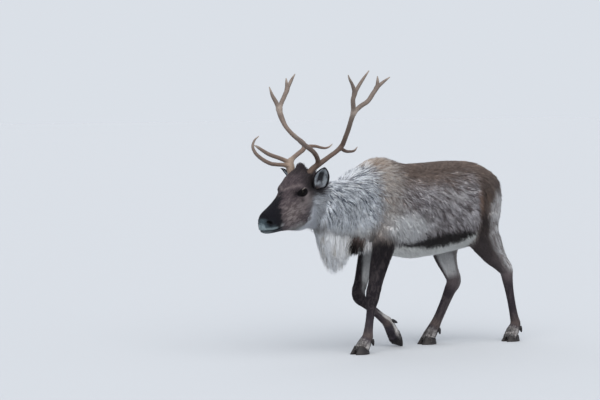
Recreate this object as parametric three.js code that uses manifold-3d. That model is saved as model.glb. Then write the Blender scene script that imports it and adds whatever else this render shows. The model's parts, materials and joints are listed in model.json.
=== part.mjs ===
// Reindeer, life size, walking: the right fore foot is lifted onto the tips of its claws, the other three stand flat.
// Lengths in the tables are metres in the animal's own frame: f forward, l to its left, z up.
// The group is in millimetres: x = -f, y = -l, so the animal faces -X and its left side faces -Y.
import * as THREE from 'three';
import Module from 'manifold-3d';

const wasm = await Module();
wasm.setup();

// ---------------------------------------------------------------- driving sizes
const SCALE = 1000;              // metres to millimetres
const GAP = 0.4;                 // mm between neighbouring parts
const HEAD_AT = [0.840, 0.030, 0.994]; // poll, origin of the head frame
const HEAD_YAW = 11;             // degrees, turned to its left
const HEAD_PITCH = 22;           // degrees, nose down
const NECK_CUT = 0.405;          // f of the plane between trunk and neck
const HEAD_CUT = 0.848;          // f of the plane between neck and head
const EYE_AT = [0.141, 0.0665, -0.056]; // head frame, left eye
const EYE_RADIUS = 0.0178;
const FORE_CUT = 0.585;          // z of the plane under the shoulder
const HIND_CUT = { f: -0.36, z: 0.605, tilt: 16 }; // plane under the thigh, rising to the rear

// Body sections, from the rump forward: f, l, z of the centre, half width, rise, drop, squareness
const TRUNK = [
  [-0.556, 0, 0.850, 0.016, 0.030, 0.030, 2.0], [-0.548, 0, 0.842, 0.045, 0.070, 0.080, 2.0],
  [-0.528, 0, 0.826, 0.082, 0.118, 0.140, 2.0], [-0.500, 0, 0.805, 0.122, 0.163, 0.185, 2.1], // buttocks
  [-0.460, 0, 0.790, 0.154, 0.198, 0.208, 2.2], [-0.410, 0, 0.780, 0.180, 0.228, 0.220, 2.3],
  [-0.340, 0, 0.775, 0.199, 0.254, 0.230, 2.3], // croup
  [-0.190, 0, 0.765, 0.210, 0.270, 0.245, 2.3], [-0.040, 0, 0.755, 0.218, 0.274, 0.252, 2.3], // loin
  [0.110, 0, 0.755, 0.216, 0.272, 0.256, 2.3], [0.200, 0, 0.765, 0.207, 0.274, 0.248, 2.3],   // ribs
  [0.290, 0, 0.785, 0.196, 0.272, 0.243, 2.3], [0.370, 0, 0.795, 0.186, 0.246, 0.232, 2.2],   // withers
  [0.450, 0, 0.788, 0.162, 0.198, 0.213, 2.2], [0.525, 0, 0.785, 0.118, 0.150, 0.180, 2.1],   // breast
  [0.564, 0, 0.785, 0.050, 0.070, 0.100, 2.0]];
const NECK = [
  [0.300, 0, 0.810, 0.155, 0.165, 0.190, 2.1], [0.440, 0, 0.815, 0.150, 0.180, 0.195, 2.1],
  [0.540, 0.003, 0.810, 0.136, 0.146, 0.188, 2.1], [0.650, 0.010, 0.818, 0.120, 0.132, 0.168, 2.1],
  [0.740, 0.018, 0.838, 0.104, 0.118, 0.150, 2.1], [0.820, 0.028, 0.862, 0.090, 0.112, 0.140, 2.1],
  [0.880, 0.040, 0.880, 0.078, 0.080, 0.118, 2.1]];
const BEARD = [ // hair hanging from the throat to the breast
  [0.450, 0, 0.712, 0.084, 0.10, 0.078, 2.0], [0.500, 0, 0.697, 0.082, 0.12, 0.112, 1.9],
  [0.545, 0, 0.684, 0.078, 0.14, 0.152, 2.0], [0.590, 0.002, 0.668, 0.074, 0.15, 0.196, 2.0],
  [0.630, 0.005, 0.660, 0.070, 0.15, 0.210, 2.0], [0.665, 0.008, 0.672, 0.066, 0.14, 0.180, 2.0],
  [0.698, 0.012, 0.698, 0.060, 0.13, 0.148, 2.0], [0.730, 0.015, 0.726, 0.053, 0.11, 0.110, 2.0],
  [0.756, 0.018, 0.752, 0.043, 0.08, 0.070, 2.0], [0.774, 0.020, 0.772, 0.024, 0.04, 0.036, 2.0]];
// Head sections in the head frame (x to the nose, y left, z up), same columns
const HEAD = [
  [-0.030, 0, -0.075, 0.080, 0.072, 0.115, 2.1], [0.030, 0, -0.070, 0.084, 0.112, 0.146, 2.2],  // poll
  [0.080, 0, -0.078, 0.083, 0.122, 0.168, 2.3], [0.130, 0, -0.088, 0.078, 0.119, 0.176, 2.4],   // brow
  [0.180, 0, -0.095, 0.068, 0.096, 0.166, 2.4], [0.230, 0, -0.104, 0.057, 0.081, 0.144, 2.3],   // stop
  [0.280, 0, -0.112, 0.050, 0.076, 0.114, 2.3], [0.330, 0, -0.118, 0.048, 0.072, 0.086, 2.3],
  [0.370, 0, -0.120, 0.049, 0.068, 0.071, 2.3], [0.402, 0, -0.120, 0.046, 0.062, 0.059, 2.3],   // muzzle
  [0.424, 0, -0.116, 0.038, 0.050, 0.046, 2.2], [0.439, 0, -0.110, 0.020, 0.028, 0.025, 2.0]];
const TAIL = [
  [-0.500, 0, 0.930, 0.030, 0.024, 0.034, 2], [-0.545, 0, 0.908, 0.034, 0.028, 0.028, 2],
  [-0.566, 0, 0.868, 0.036, 0.027, 0.026, 2], [-0.572, 0, 0.820, 0.031, 0.024, 0.022, 2],
  [-0.570, 0, 0.782, 0.019, 0.015, 0.014, 2], [-0.568, 0, 0.762, 0.006, 0.005, 0.005, 2]];

// Joints of each leg, then girths along it: joint index, half width, front, back
const FORE_JOINTS = {
  L: [[0.355, 0.112, 0.700], [0.374, 0.120, 0.610], [0.436, 0.108, 0.312], [0.458, 0.090, 0.092], [0.495, 0.085, 0.022]],
  R: [[0.300, -0.112, 0.700], [0.268, -0.120, 0.600], [0.362, -0.107, 0.292], [0.160, -0.092, 0.140], [0.104, -0.090, 0.052]] };
const FORE_GIRTH = [[0, 0.055, 0.080, 0.080], [1, 0.056, 0.068, 0.070], [1.23, 0.048, 0.056, 0.060], [1.5, 0.041, 0.048, 0.050],
  [1.76, 0.036, 0.041, 0.043], [1.93, 0.038, 0.043, 0.040], [2.07, 0.036, 0.041, 0.038], [2.27, 0.027, 0.030, 0.029],
  [2.57, 0.0225, 0.025, 0.026], [2.84, 0.0245, 0.027, 0.029], [3, 0.030, 0.031, 0.034], [3.5, 0.036, 0.038, 0.038], [4, 0.043, 0.040, 0.034]];
const HIND_JOINTS = {
  L: [[-0.340, 0.105, 0.740], [-0.362, 0.118, 0.640], [-0.432, 0.119, 0.520], [-0.556, 0.109, 0.408], [-0.640, 0.102, 0.095], [-0.602, 0.104, 0.022]],
  R: [[-0.300, -0.105, 0.740], [-0.288, -0.118, 0.640], [-0.292, -0.118, 0.500], [-0.350, -0.107, 0.345], [-0.186, -0.083, 0.100], [-0.128, -0.075, 0.022]] };
const HIND_GIRTH = [[0, 0.062, 0.115, 0.105], [1, 0.066, 0.118, 0.112], [1.55, 0.058, 0.098, 0.100], [2.1, 0.049, 0.070, 0.082], [2.65, 0.039, 0.047, 0.056],
  [3, 0.034, 0.041, 0.047], [3.18, 0.030, 0.032, 0.036], [3.4, 0.0245, 0.026, 0.028], [3.67, 0.0225, 0.024, 0.026], [3.87, 0.0245, 0.026, 0.029],
  [4, 0.030, 0.031, 0.034], [4.5, 0.036, 0.038, 0.038], [5, 0.043, 0.040, 0.034]];
// what each leg has more or less in front and behind, row by row of its girths
const vary = (rows, front, back) => rows.map(([s, w, f, b], i) => [s, w, f + (front[i] || 0), b + (back[i] || 0)]);
const FORE_GIRTHS = {
  L: vary(FORE_GIRTH, [], [0, 0.008, 0.012, 0.006, 0.001]),                                                     // elbow
  R: vary(FORE_GIRTH, [0, -0.008, -0.014, -0.010, -0.005, -0.004, -0.006, 0, 0, 0, 0, -0.007, -0.006], []) };    // bent, so slimmer in front
const HIND_GIRTHS = {
  L: HIND_GIRTH,
  R: vary(HIND_GIRTH, [], [0, 0, 0, 0, 0.002, 0.009, 0.010, 0.014, 0.013, 0.008, 0.004]) };                      // fringe behind the cannon

// Swellings: centre, radii, frame
const SWELLS = [
  { at: [0.137, 0.056, -0.036], r: [0.048, 0.026, 0.034], head: true, k: 0.02 },
  { at: [0.137, -0.056, -0.036], r: [0.048, 0.026, 0.034], head: true, k: 0.02 },
  { at: [0.040, 0, 0.042], r: [0.034, 0.024, 0.036], head: true, k: 0.03 }];

// Antlers in the head frame: x, y, z, half width, (flattening 1 = round)
const ANTLER = {
  L: {
    beam: [[0.045, 0.048, -0.012, 0.0170], [0.028, 0.052, 0.012, 0.0165], [-0.004, 0.060, 0.024, 0.0155], [-0.029, 0.075, 0.033, 0.0145], [-0.093, 0.095, 0.046, 0.0125],
      [-0.156, 0.113, 0.058, 0.0125], [-0.187, 0.130, 0.077, 0.0130], [-0.187, 0.165, 0.121, 0.0125], [-0.191, 0.200, 0.171, 0.0125], [-0.193, 0.232, 0.223, 0.0130], [-0.200, 0.257, 0.263, 0.0145]],
    bez_tine: [[-0.023, 0.073, 0.036, 0.0120], [-0.021, 0.085, 0.064, 0.0125], [0.021, 0.110, 0.124, 0.0125], [0.085, 0.130, 0.187, 0.0125], [0.136, 0.140, 0.238, 0.0110], [0.160, 0.145, 0.274, 0.0085], [0.173, 0.148, 0.300, 0.0030]],
    back_tine: [[-0.178, 0.124, 0.064, 0.0100], [-0.214, 0.120, 0.032, 0.0090], [-0.252, 0.115, 0.013, 0.0075], [-0.302, 0.105, -0.003, 0.0060], [-0.338, 0.100, 0.002, 0.0025]],
    crown_front: [[[-0.199, 0.254, 0.258, 0.0125], [-0.195, 0.270, 0.308, 0.0125], [-0.193, 0.280, 0.341, 0.0120], [-0.206, 0.290, 0.372, 0.0125], [-0.194, 0.300, 0.422, 0.0090], [-0.177, 0.305, 0.463, 0.0060], [-0.169, 0.310, 0.488, 0.0030]],
      [[-0.205, 0.289, 0.368, 0.0105], [-0.256, 0.295, 0.400, 0.0095], [-0.310, 0.295, 0.421, 0.0070], [-0.357, 0.295, 0.438, 0.0030]]],
    crown_rear: [[[-0.202, 0.256, 0.264, 0.0125], [-0.248, 0.275, 0.281, 0.0120], [-0.291, 0.290, 0.289, 0.0120], [-0.339, 0.300, 0.315, 0.0120], [-0.375, 0.308, 0.339, 0.0110], [-0.386, 0.312, 0.368, 0.0080], [-0.390, 0.315, 0.392, 0.0030]],
      [[-0.368, 0.306, 0.334, 0.0100], [-0.419, 0.318, 0.347, 0.0085], [-0.475, 0.325, 0.354, 0.0030]]] },
  R: {
    beam: [[0.066, -0.044, -0.012, 0.0175], [0.062, -0.048, 0.015, 0.0185], [0.047, -0.058, 0.043, 0.0230], [0.033, -0.066, 0.066, 0.0205], [-0.006, -0.075, 0.074, 0.0135], [-0.083, -0.095, 0.070, 0.0125], [-0.153, -0.112, 0.069, 0.0125],
      [-0.181, -0.128, 0.080, 0.0130], [-0.177, -0.145, 0.104, 0.0125], [-0.171, -0.172, 0.132, 0.0120], [-0.166, -0.192, 0.161, 0.0115], [-0.174, -0.222, 0.194, 0.0120], [-0.190, -0.248, 0.236, 0.0150], [-0.203, -0.262, 0.276, 0.0160]],
    brow_tine: [[0.047, -0.060, 0.050, 0.0130], [0.082, -0.066, 0.075, 0.0110], [0.127, -0.072, 0.097, 0.0105], [0.171, -0.078, 0.123, 0.0105], [0.213, -0.088, 0.167, 0.0100], [0.237, -0.098, 0.211, 0.0090], [0.234, -0.108, 0.246, 0.0075], [0.201, -0.115, 0.267, 0.0055], [0.156, -0.120, 0.272, 0.0028]],
    bez_tine: [[0.036, -0.066, 0.070, 0.0125], [0.082, -0.080, 0.113, 0.0110], [0.131, -0.100, 0.155, 0.0105], [0.164, -0.118, 0.197, 0.0090], [0.178, -0.128, 0.219, 0.0070], [0.186, -0.138, 0.232, 0.0030]],
    back_tine: [[-0.168, -0.121, 0.070, 0.0100], [-0.209, -0.120, 0.058, 0.0095], [-0.251, -0.115, 0.040, 0.0085], [-0.284, -0.108, 0.018, 0.0075], [-0.311, -0.100, 0.004, 0.0060], [-0.339, -0.095, 0.001, 0.0045], [-0.358, -0.088, 0.008, 0.0025]],
    crown_front: [[[-0.203, -0.260, 0.272, 0.0125], [-0.206, -0.272, 0.314, 0.0120], [-0.205, -0.285, 0.353, 0.0095], [-0.215, -0.300, 0.401, 0.0030]]],
    crown_rear: [[[-0.205, -0.260, 0.276, 0.0130], [-0.247, -0.272, 0.297, 0.0125], [-0.298, -0.285, 0.315, 0.0125], [-0.349, -0.300, 0.335, 0.0120], [-0.362, -0.305, 0.365, 0.0080], [-0.374, -0.310, 0.388, 0.0030]],
      [[-0.345, -0.299, 0.333, 0.0105], [-0.405, -0.308, 0.360, 0.0090], [-0.457, -0.315, 0.379, 0.0030]]] } };

// Feet: coronet centre over the sole, heading in degrees (0 = forward, + to its left), spread of the claws
const CLAW = { length: 0.102, width: 0.047, front: 0.047, heel: 0.030 };
const DEWCLAW = { from: [0.022, 0.020, 0.002], to: [0.058, 0.032, 0.032], radius: 0.0115 }; // behind, beside and below the fetlock
const FEET = { // sole centre, heading, spread of the claws, nose-down pitch of the sole
  fore_L: { at: [0.512, 0.086, 0], head: 4, spread: 15, pitch: 0 },
  fore_R: { at: [0.072, -0.090, 0.0470], head: -14, spread: 3, pitch: 108, slim: 0.76 },
  hind_L: { at: [-0.598, 0.104, 0], head: 6, spread: 10, pitch: 0 },
  hind_R: { at: [-0.120, -0.075, 0], head: -4, spread: 12, pitch: 0 } };

// ---------------------------------------------------------------- small vector helpers
const add = (a, b) => [a[0] + b[0], a[1] + b[1], a[2] + b[2]];
const sub = (a, b) => [a[0] - b[0], a[1] - b[1], a[2] - b[2]];
const mul = (a, s) => [a[0] * s, a[1] * s, a[2] * s];
const dot = (a, b) => a[0] * b[0] + a[1] * b[1] + a[2] * b[2];
const cross = (a, b) => [a[1] * b[2] - a[2] * b[1], a[2] * b[0] - a[0] * b[2], a[0] * b[1] - a[1] * b[0]];
const unit = (a) => mul(a, 1 / Math.hypot(...a));
const mix = (a, b, t) => a.map((v, i) => v + (b[i] - v) * t);
const rad = (d) => d * Math.PI / 180;
const smooth = (t) => t * t * (3 - 2 * t);

// head frame axes seen from the body
const cy = Math.cos(rad(HEAD_YAW)), sy = Math.sin(rad(HEAD_YAW)), cp = Math.cos(rad(HEAD_PITCH)), sp = Math.sin(rad(HEAD_PITCH));
const HX = [cy * cp, sy * cp, -sp], HY = [-sy, cy, 0], HZ = [cy * sp, sy * sp, cp];
const headToBody = (p) => add(HEAD_AT, add(mul(HX, p[0]), add(mul(HY, p[1]), mul(HZ, p[2]))));
const bodyToHead = (p) => { const q = sub(p, HEAD_AT); return [dot(q, HX), dot(q, HY), dot(q, HZ)]; };
const headDir = (v) => add(mul(HX, v[0]), add(mul(HY, v[1]), mul(HZ, v[2])));

// smooth curve through all columns of a table, chord-length spaced
function resample(rows, n) {
  const t = [0];
  for (let i = 1; i < rows.length; i++) t.push(t[i - 1] + Math.sqrt(Math.hypot(...sub(rows[i], rows[i - 1]))));
  const m = rows.map(() => []), w = rows[0].length;
  for (let c = 0; c < w; c++) {
    const d = []; for (let i = 0; i + 1 < rows.length; i++) d.push((rows[i + 1][c] - rows[i][c]) / (t[i + 1] - t[i]));
    for (let i = 0; i < rows.length; i++) {
      if (i === 0) m[i][c] = d[0]; else if (i === rows.length - 1) m[i][c] = d[i - 1];
      else { const h0 = t[i] - t[i - 1], h1 = t[i + 1] - t[i]; m[i][c] = (d[i - 1] * h1 + d[i] * h0) / (h0 + h1); }
    }
  }
  const out = [];
  for (let i = 0; i + 1 < rows.length; i++) {
    const h = t[i + 1] - t[i];
    for (let j = 0; j < n; j++) {
      const u = j / n, a = 2 * u ** 3 - 3 * u * u + 1, b = u ** 3 - 2 * u * u + u, c2 = 3 * u * u - 2 * u ** 3, e = u ** 3 - u * u;
      out.push(rows[i].map((v, c) => a * v + b * h * m[i][c] + c2 * rows[i + 1][c] + e * h * m[i + 1][c]));
    }
  }
  out.push([...rows[rows.length - 1]]);
  for (const r of out) for (let c = 3; c < Math.min(6, w); c++) r[c] = Math.max(r[c], 0.002);
  return out;
}
// signed distance to a limb-like body swept through elliptical sections
function sweep(rows, up, k, head = false, axis = null, bent = false, n = 3) { // axis: fixed direction of all sections; bent: limbs with sharp joints
  const R = resample(rows, n), T = R.map((r, i) => axis || unit(sub(R[Math.min(i + 1, R.length - 1)], R[Math.max(i - 1, 0)])));
  const lo = [9, 9, 9], hi = [-9, -9, -9];
  for (const r of R) for (let c = 0; c < 3; c++) { const m = Math.max(r[3], r[4], r[5]); lo[c] = Math.min(lo[c], r[c] - m); hi[c] = Math.max(hi[c], r[c] + m); }
  return { k, head, lo, hi, rows: R, T, up, dist(p) {
    let best = 1e9;
    for (let i = 0; i + 1 < R.length; i++) {
      const a = R[i], b = R[i + 1], ab = sub(b, a), da = dot(sub(p, a), T[i]), db = dot(sub(p, b), T[i + 1]), den = da - db;
      let t = Math.abs(den) > 1e-9 ? da / den : 0.5; t = Math.min(1, Math.max(0, t));
      const q = sub(p, add(a, mul(ab, t))), tn = unit(mix(T[i], T[i + 1], t));
      const ax = Math.abs(dot(q, tn)), u = unit(sub(up, mul(tn, dot(up, tn)))), w = cross(u, tn);
      const x = dot(q, w), y = dot(q, u), rl = a[3] + (b[3] - a[3]) * t, ry = y > 0 ? a[4] + (b[4] - a[4]) * t : a[5] + (b[5] - a[5]) * t, e = a[6] + (b[6] - a[6]) * t;
      const rho = (Math.abs(x / rl) ** e + Math.abs(y / ry) ** e) ** (1 / e), r = Math.hypot(x, y), inside = Math.min(rl, ry);
      let d = Math.max(rho > 1e-6 ? r * (1 - 1 / rho) : -inside, -inside);
      if (t <= 0 || t >= 1) { const end = (t <= 0 && i === 0) || (t >= 1 && i === R.length - 2); d = bent && d < 0 && !end ? d + ax : Math.hypot(Math.max(d, 0), ax); }
      if (d < best) best = d;
    }
    return best;
  } };
}
function swell(s) {
  const m = Math.max(...s.r);
  return { k: s.k, head: s.head, lo: s.at.map((v) => v - m), hi: s.at.map((v) => v + m), dist(p) {
    const q = sub(p, s.at), k0 = Math.hypot(q[0] / s.r[0], q[1] / s.r[1], q[2] / s.r[2]), k1 = Math.hypot(q[0] / s.r[0] ** 2, q[1] / s.r[1] ** 2, q[2] / s.r[2] ** 2);
    return k1 > 1e-9 ? k0 * (k0 - 1) / k1 : -Math.min(...s.r);
  } };
}
const smin = (a, b, k) => { const h = Math.max(k - Math.abs(a - b), 0) / k; return Math.min(a, b) - h * h * k * 0.25; };
function blend(parts) {
  return (p) => {
    let d = 9; const ph = bodyToHead(p);
    for (const s of parts) {
      const q = s.head ? ph : p, m = 0.09;
      if (q[0] < s.lo[0] - m || q[1] < s.lo[1] - m || q[2] < s.lo[2] - m || q[0] > s.hi[0] + m || q[1] > s.hi[1] + m || q[2] > s.hi[2] + m) continue;
      d = smin(d, s.dist(q), s.k);
    }
    return d;
  };
}
// leg: straight bones between its joints, with the girths set along them
function legRows(joints, girth) {
  return girth.map(([s, w, f, b]) => { const i = Math.min(Math.floor(s), joints.length - 2); return [...mix(joints[i], joints[i + 1], s - i), w, f, b, 2]; });
}
const UP = [0, 0, 1];
const limb = (joints, girth, up, k) => sweep(legRows(joints, girth), up, k, false, null, true);
const legs = {
  fore_L: limb(FORE_JOINTS.L, FORE_GIRTHS.L, [1, 0, 0], 0.035), fore_R: limb(FORE_JOINTS.R, FORE_GIRTHS.R, [1, 0, 0.3], 0.035),
  hind_L: limb(HIND_JOINTS.L, HIND_GIRTHS.L, [1, 0, 0], 0.045), hind_R: limb(HIND_JOINTS.R, HIND_GIRTHS.R, [1, 0, 0.2], 0.045) };
const trunk = sweep(TRUNK, UP, 0.05, false, [1, 0, 0]), neck = sweep(NECK, UP, 0.06), beard = sweep(BEARD, UP, 0.05), head = sweep(HEAD, UP, 0.045, true), tail = sweep(TAIL, [-1, 0, 0.3], 0.02, false, null, true);
const swells = SWELLS.map(swell);
const core = blend([trunk, neck, beard, head, ...swells]);                // without legs and tail
const body = blend([trunk, neck, beard, head, ...swells, ...Object.values(legs)]); // without the tail
const whole = blend([trunk, neck, beard, head, ...swells, ...Object.values(legs), tail]);

// ---------------------------------------------------------------- solids
// distance from a point inside, along a direction, to where a field turns positive
function reach(field, c, d, max = 0.6) {
  let r = 0, v = field(c);
  if (v > 0) return 0.001;
  while (r < max) {
    const step = Math.max(-v * 0.8, 0.0012), n = r + step, vn = field(add(c, mul(d, n)));
    if (vn > 0) { let a = r, b = n; for (let i = 0; i < 14; i++) { const m = (a + b) / 2; if (field(add(c, mul(d, m))) > 0) b = m; else a = m; } return (a + b) / 2; }
    r = n; v = vn;
  }
  return max;
}
const toMM = (p) => [-p[0] * SCALE, -p[1] * SCALE, p[2] * SCALE];
// closed shell from rings of points (each ring the same count), with flat or pointed ends
function shell(rings, startPoint = null, endPoint = null) {
  const n = rings[0].length, pos = [], idx = [];
  for (const r of rings) for (const p of r) pos.push(...toMM(p));
  const mean = (r) => mul(r.reduce(add, [0, 0, 0]), 1 / n);
  pos.push(...toMM(startPoint || mean(rings[0])), ...toMM(endPoint || mean(rings[rings.length - 1])));
  const s = rings.length * n, e = s + 1;
  for (let i = 0; i + 1 < rings.length; i++) for (let j = 0; j < n; j++) {
    const a = i * n + j, b = i * n + (j + 1) % n, c = a + n, d = b + n;
    idx.push(a, c, b, b, c, d);
  }
  for (let j = 0; j < n; j++) { const k = (rings.length - 1) * n; idx.push(s, j, (j + 1) % n, e, k + (j + 1) % n, k + j); }
  return solid(pos, idx);
}
function solid(pos, idx) {
  let vol = 0;
  for (let i = 0; i < idx.length; i += 3) {
    const [a, b, c] = [idx[i], idx[i + 1], idx[i + 2]].map((k) => pos.slice(3 * k, 3 * k + 3)); vol += dot(a, cross(b, c));
  }
  if (vol < 0) for (let i = 0; i < idx.length; i += 3) [idx[i], idx[i + 1]] = [idx[i + 1], idx[i]];
  return new wasm.Manifold(new wasm.Mesh({ numProp: 3, vertProperties: new Float32Array(pos), triVerts: new Uint32Array(idx) }));
}
function fromGeometry(g) {
  const key = new Map(), pos = [], idx = [], p = g.attributes.position, ix = g.index ? g.index.array : [...Array(p.count).keys()];
  const id = [...Array(p.count).keys()].map((i) => {
    const v = [p.getX(i), p.getY(i), p.getZ(i)], k = v.map((x) => Math.round(x * 1e4)).join();
    if (!key.has(k)) { key.set(k, pos.length / 3); pos.push(...v); } return key.get(k);
  });
  for (let i = 0; i < ix.length; i += 3) { const [a, b, c] = [id[ix[i]], id[ix[i + 1]], id[ix[i + 2]]]; if (a !== b && b !== c && a !== c) idx.push(a, b, c); }
  return solid(pos, idx);
}
// half space as a large block: keeps the side the normal points to
function block(point, normal, size = 4) {
  const g = new THREE.BoxGeometry(size * SCALE, size * SCALE, size * SCALE), n = new THREE.Vector3(-normal[0], -normal[1], normal[2]).normalize();
  g.translate(0, 0, size * SCALE / 2).applyQuaternion(new THREE.Quaternion().setFromUnitVectors(new THREE.Vector3(0, 0, 1), n));
  const c = toMM(point); g.translate(...c);
  return fromGeometry(g);
}
// ring of surface points about a centre in the plane of u and w
function ring(c, w, u, n, field, own = null, margin = 0.02, grow = 0) {
  const out = [];
  for (let j = 0; j < n; j++) {
    const a = 2 * Math.PI * j / n, d = add(mul(w, Math.cos(a)), mul(u, Math.sin(a)));
    let r = reach(field, c, d); if (own) r = Math.min(r, reach(own, c, d) + margin);
    out.push(add(c, mul(d, r + grow / SCALE)));
  }
  return out;
}
function column(rows, x, c) { // value of a column of a table at a place along it
  for (let i = 0; i + 1 < rows.length; i++) if (x <= rows[i + 1][0]) { const t = Math.max(0, (x - rows[i][0]) / (rows[i + 1][0] - rows[i][0])); return rows[i][c] + (rows[i + 1][c] - rows[i][c]) * t; }
  return rows[rows.length - 1][c];
}
const L = [0, 1, 0];
const g2 = GAP / 2 / SCALE;

// trunk: upright sections from the rump to the neck plane
const TRUNK_AT = [-0.553, -0.543, -0.525, -0.50, -0.465, -0.425, -0.38, -0.33, -0.275, -0.215, -0.155, -0.095, -0.035, 0.025, 0.085, 0.14, 0.19, 0.235, 0.28, 0.325, 0.365, NECK_CUT - g2];
const BODY_SIDES = 24;
const midZ = (f) => column(TRUNK, f, 2);
const trunkShell = (grow) => shell(TRUNK_AT.map((f) => ring([f, 0, midZ(f)], L, UP, BODY_SIDES, body, core, 0.016, grow)), [-0.5575 - grow / SCALE, 0, 0.85], null);
const trunkBody = trunkShell(0), trunkGrown = trunkShell(GAP);

// neck and beard: sections turn from square-on to the plane behind the jaw, with more points along the underside
const NECK_STEPS = 12, NECK_SIDES = 26;
const BEARD_CUT = { f: 0.60, z: 0.640, tilt: -14 };  // plane between neck and beard, rising to the jaw
const front = blend([trunk, neck, beard, head, ...swells]);
const around = (t) => { const a = 2 * Math.PI * t; return -Math.PI / 2 + a - 0.55 * Math.sin(a); };
function fan(c, w, u, n, field, grow) {
  const out = [];
  for (let j = 0; j < n; j++) { const a = around(j / n), d = add(mul(w, Math.cos(a)), mul(u, Math.sin(a))); out.push(add(c, mul(d, reach(field, c, d) + grow / SCALE))); }
  return out;
}
const neckRing = (t, grow, off = 0) => {
  const f = NECK_CUT + (HEAD_CUT - NECK_CUT) * t, yaw = rad(HEAD_YAW) * smooth(t), l = 0.032 * t * t, z = midZ(NECK_CUT) + (0.885 - midZ(NECK_CUT)) * t;
  const n = [Math.cos(yaw), Math.sin(yaw), 0];
  return fan(add([f, l, z], mul(n, off)), [-Math.sin(yaw), Math.cos(yaw), 0], UP, NECK_SIDES, front, grow);
};
const neckShell = (grow) => { const r = []; for (let i = 0; i <= NECK_STEPS; i++) r.push(neckRing(i / NECK_STEPS, grow, i === 0 ? g2 : i === NECK_STEPS ? -g2 : 0)); return shell(r); };
const neckAll = neckShell(0), neckGrown = neckShell(GAP);
const beardN = [Math.sin(rad(BEARD_CUT.tilt)), 0, Math.cos(rad(BEARD_CUT.tilt))], beardP = [BEARD_CUT.f, 0, BEARD_CUT.z];

// head: sections turn from upright to square across the muzzle
const HEAD_AT_X = [0, 0.03, 0.055, 0.08, 0.10, 0.12, 0.14, 0.16, 0.18, 0.21, 0.24, 0.275, 0.31, 0.345, 0.375, 0.40, 0.418, 0.431, 0.4395];
const headRings = (grow) => HEAD_AT_X.map((x, i) => {
  const t = Math.min(1, i / 8), start = bodyToHead([HEAD_CUT, 0.032, 0.885]);
  const c0 = headToBody([start[0] + (x - 0) * 1.0, start[1] * (1 - t), start[2] * (1 - t) + column(HEAD, x, 2) * t]);
  const c = i === 0 ? add([HEAD_CUT, 0.032, 0.885], mul([Math.cos(rad(HEAD_YAW)), Math.sin(rad(HEAD_YAW)), 0], g2)) : i < 8 ? headToBody(mix(start, [HEAD_AT_X[8], 0, column(HEAD, HEAD_AT_X[8], 2)], (x / HEAD_AT_X[8]))) : headToBody([x, 0, column(HEAD, x, 2)]);
  const pitch = rad(HEAD_PITCH) * smooth(t), u = [Math.cos(rad(HEAD_YAW)) * Math.sin(pitch), Math.sin(rad(HEAD_YAW)) * Math.sin(pitch), Math.cos(pitch)];
  return ring(c, HY, u, 20, core, null, 0, grow);
});
const headShell = (grow) => shell(headRings(grow), null, headToBody([0.4425 + grow / SCALE, 0, -0.108]));
let headBody = headShell(0);
const headGrown = headShell(GAP);

// tail and legs follow the same blended body, kept near their own girth where they enter it
function sweepShell(s, whole2, sides, from = 0, to = 1, margin = 0.02, grow = 0, every = 3) {
  const own = blend([s]), rings = [], N = s.rows.length - 1, i0 = Math.round(from * N), i1 = Math.round(to * N);
  for (let i = i0; i <= i1; i += every) {
    const k = Math.min(i, i1), c = s.rows[k].slice(0, 3), tn = s.T[k], u = unit(sub(s.up, mul(tn, dot(s.up, tn)))), w = cross(u, tn);
    const off = k === i0 && from > 0 ? g2 : k === i1 && to < 1 ? -g2 : 0;
    const shift = mul(tn, off + (k === i1 ? grow / SCALE : 0) - (k === i0 ? grow / SCALE : 0));
    rings.push(ring(add(c, mul(tn, k === i1 ? -1e-4 : k === i0 ? 1e-4 : 0)), w, u, sides, whole2, own, margin, grow).map((p) => add(p, shift)));
    if (k < i1 && i + every > i1) i = i1 - every;
  }
  return shell(rings);
}
export { whole, core, headToBody, bodyToHead, legs, reach };

// ear: a cupped leaf between an outer and an inner face
const EAR = { length: 0.134, width: 0.046, thick: 0.0075 };
function ear(base, axis, open) { // base point, direction of the tip, direction the cup opens
  const t = unit(axis), o = unit(sub(open, mul(t, dot(open, t)))), w = cross(t, o), M = 8, N = 6, pos = [], idx = [];
  const face = (i, j, inner) => {
    const s = i / M, v = -1 + 2 * j / N;                                     // along, across
    const half = Math.max(0.004, EAR.width * Math.sin(Math.PI * (0.14 + 0.86 * s)) ** 0.66);
    const bend = 1.75 - 1.05 * s, R = half / Math.sin(Math.min(Math.PI / 2, bend)), r = R - (inner ? EAR.thick * (1 - 0.5 * s) : 0);
    const a = v * bend, lean = -0.012 * Math.sin(Math.PI * s);
    return add(base, add(mul(t, EAR.length * s), add(mul(w, r * Math.sin(a)), mul(o, lean - r * Math.cos(a) + R * Math.cos(bend)))));
  };
  for (const inner of [0, 1]) for (let i = 0; i <= M; i++) for (let j = 0; j <= N; j++) pos.push(...toMM(face(i, j, inner)));
  const id = (inner, i, j) => inner * (M + 1) * (N + 1) + i * (N + 1) + j;
  const quad = (a, b, c, d) => idx.push(a, b, c, a, c, d);
  for (let i = 0; i < M; i++) for (let j = 0; j < N; j++) { quad(id(0, i, j), id(0, i, j + 1), id(0, i + 1, j + 1), id(0, i + 1, j)); quad(id(1, i, j), id(1, i + 1, j), id(1, i + 1, j + 1), id(1, i, j + 1)); }
  for (let i = 0; i < M; i++) { quad(id(0, i, 0), id(0, i + 1, 0), id(1, i + 1, 0), id(1, i, 0)); quad(id(0, i, N), id(1, i, N), id(1, i + 1, N), id(0, i + 1, N)); }
  for (let j = 0; j < N; j++) { quad(id(0, 0, j), id(1, 0, j), id(1, 0, j + 1), id(0, 0, j + 1)); quad(id(0, M, j), id(0, M, j + 1), id(1, M, j + 1), id(1, M, j)); }
  return solid(pos, idx);
}

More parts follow.
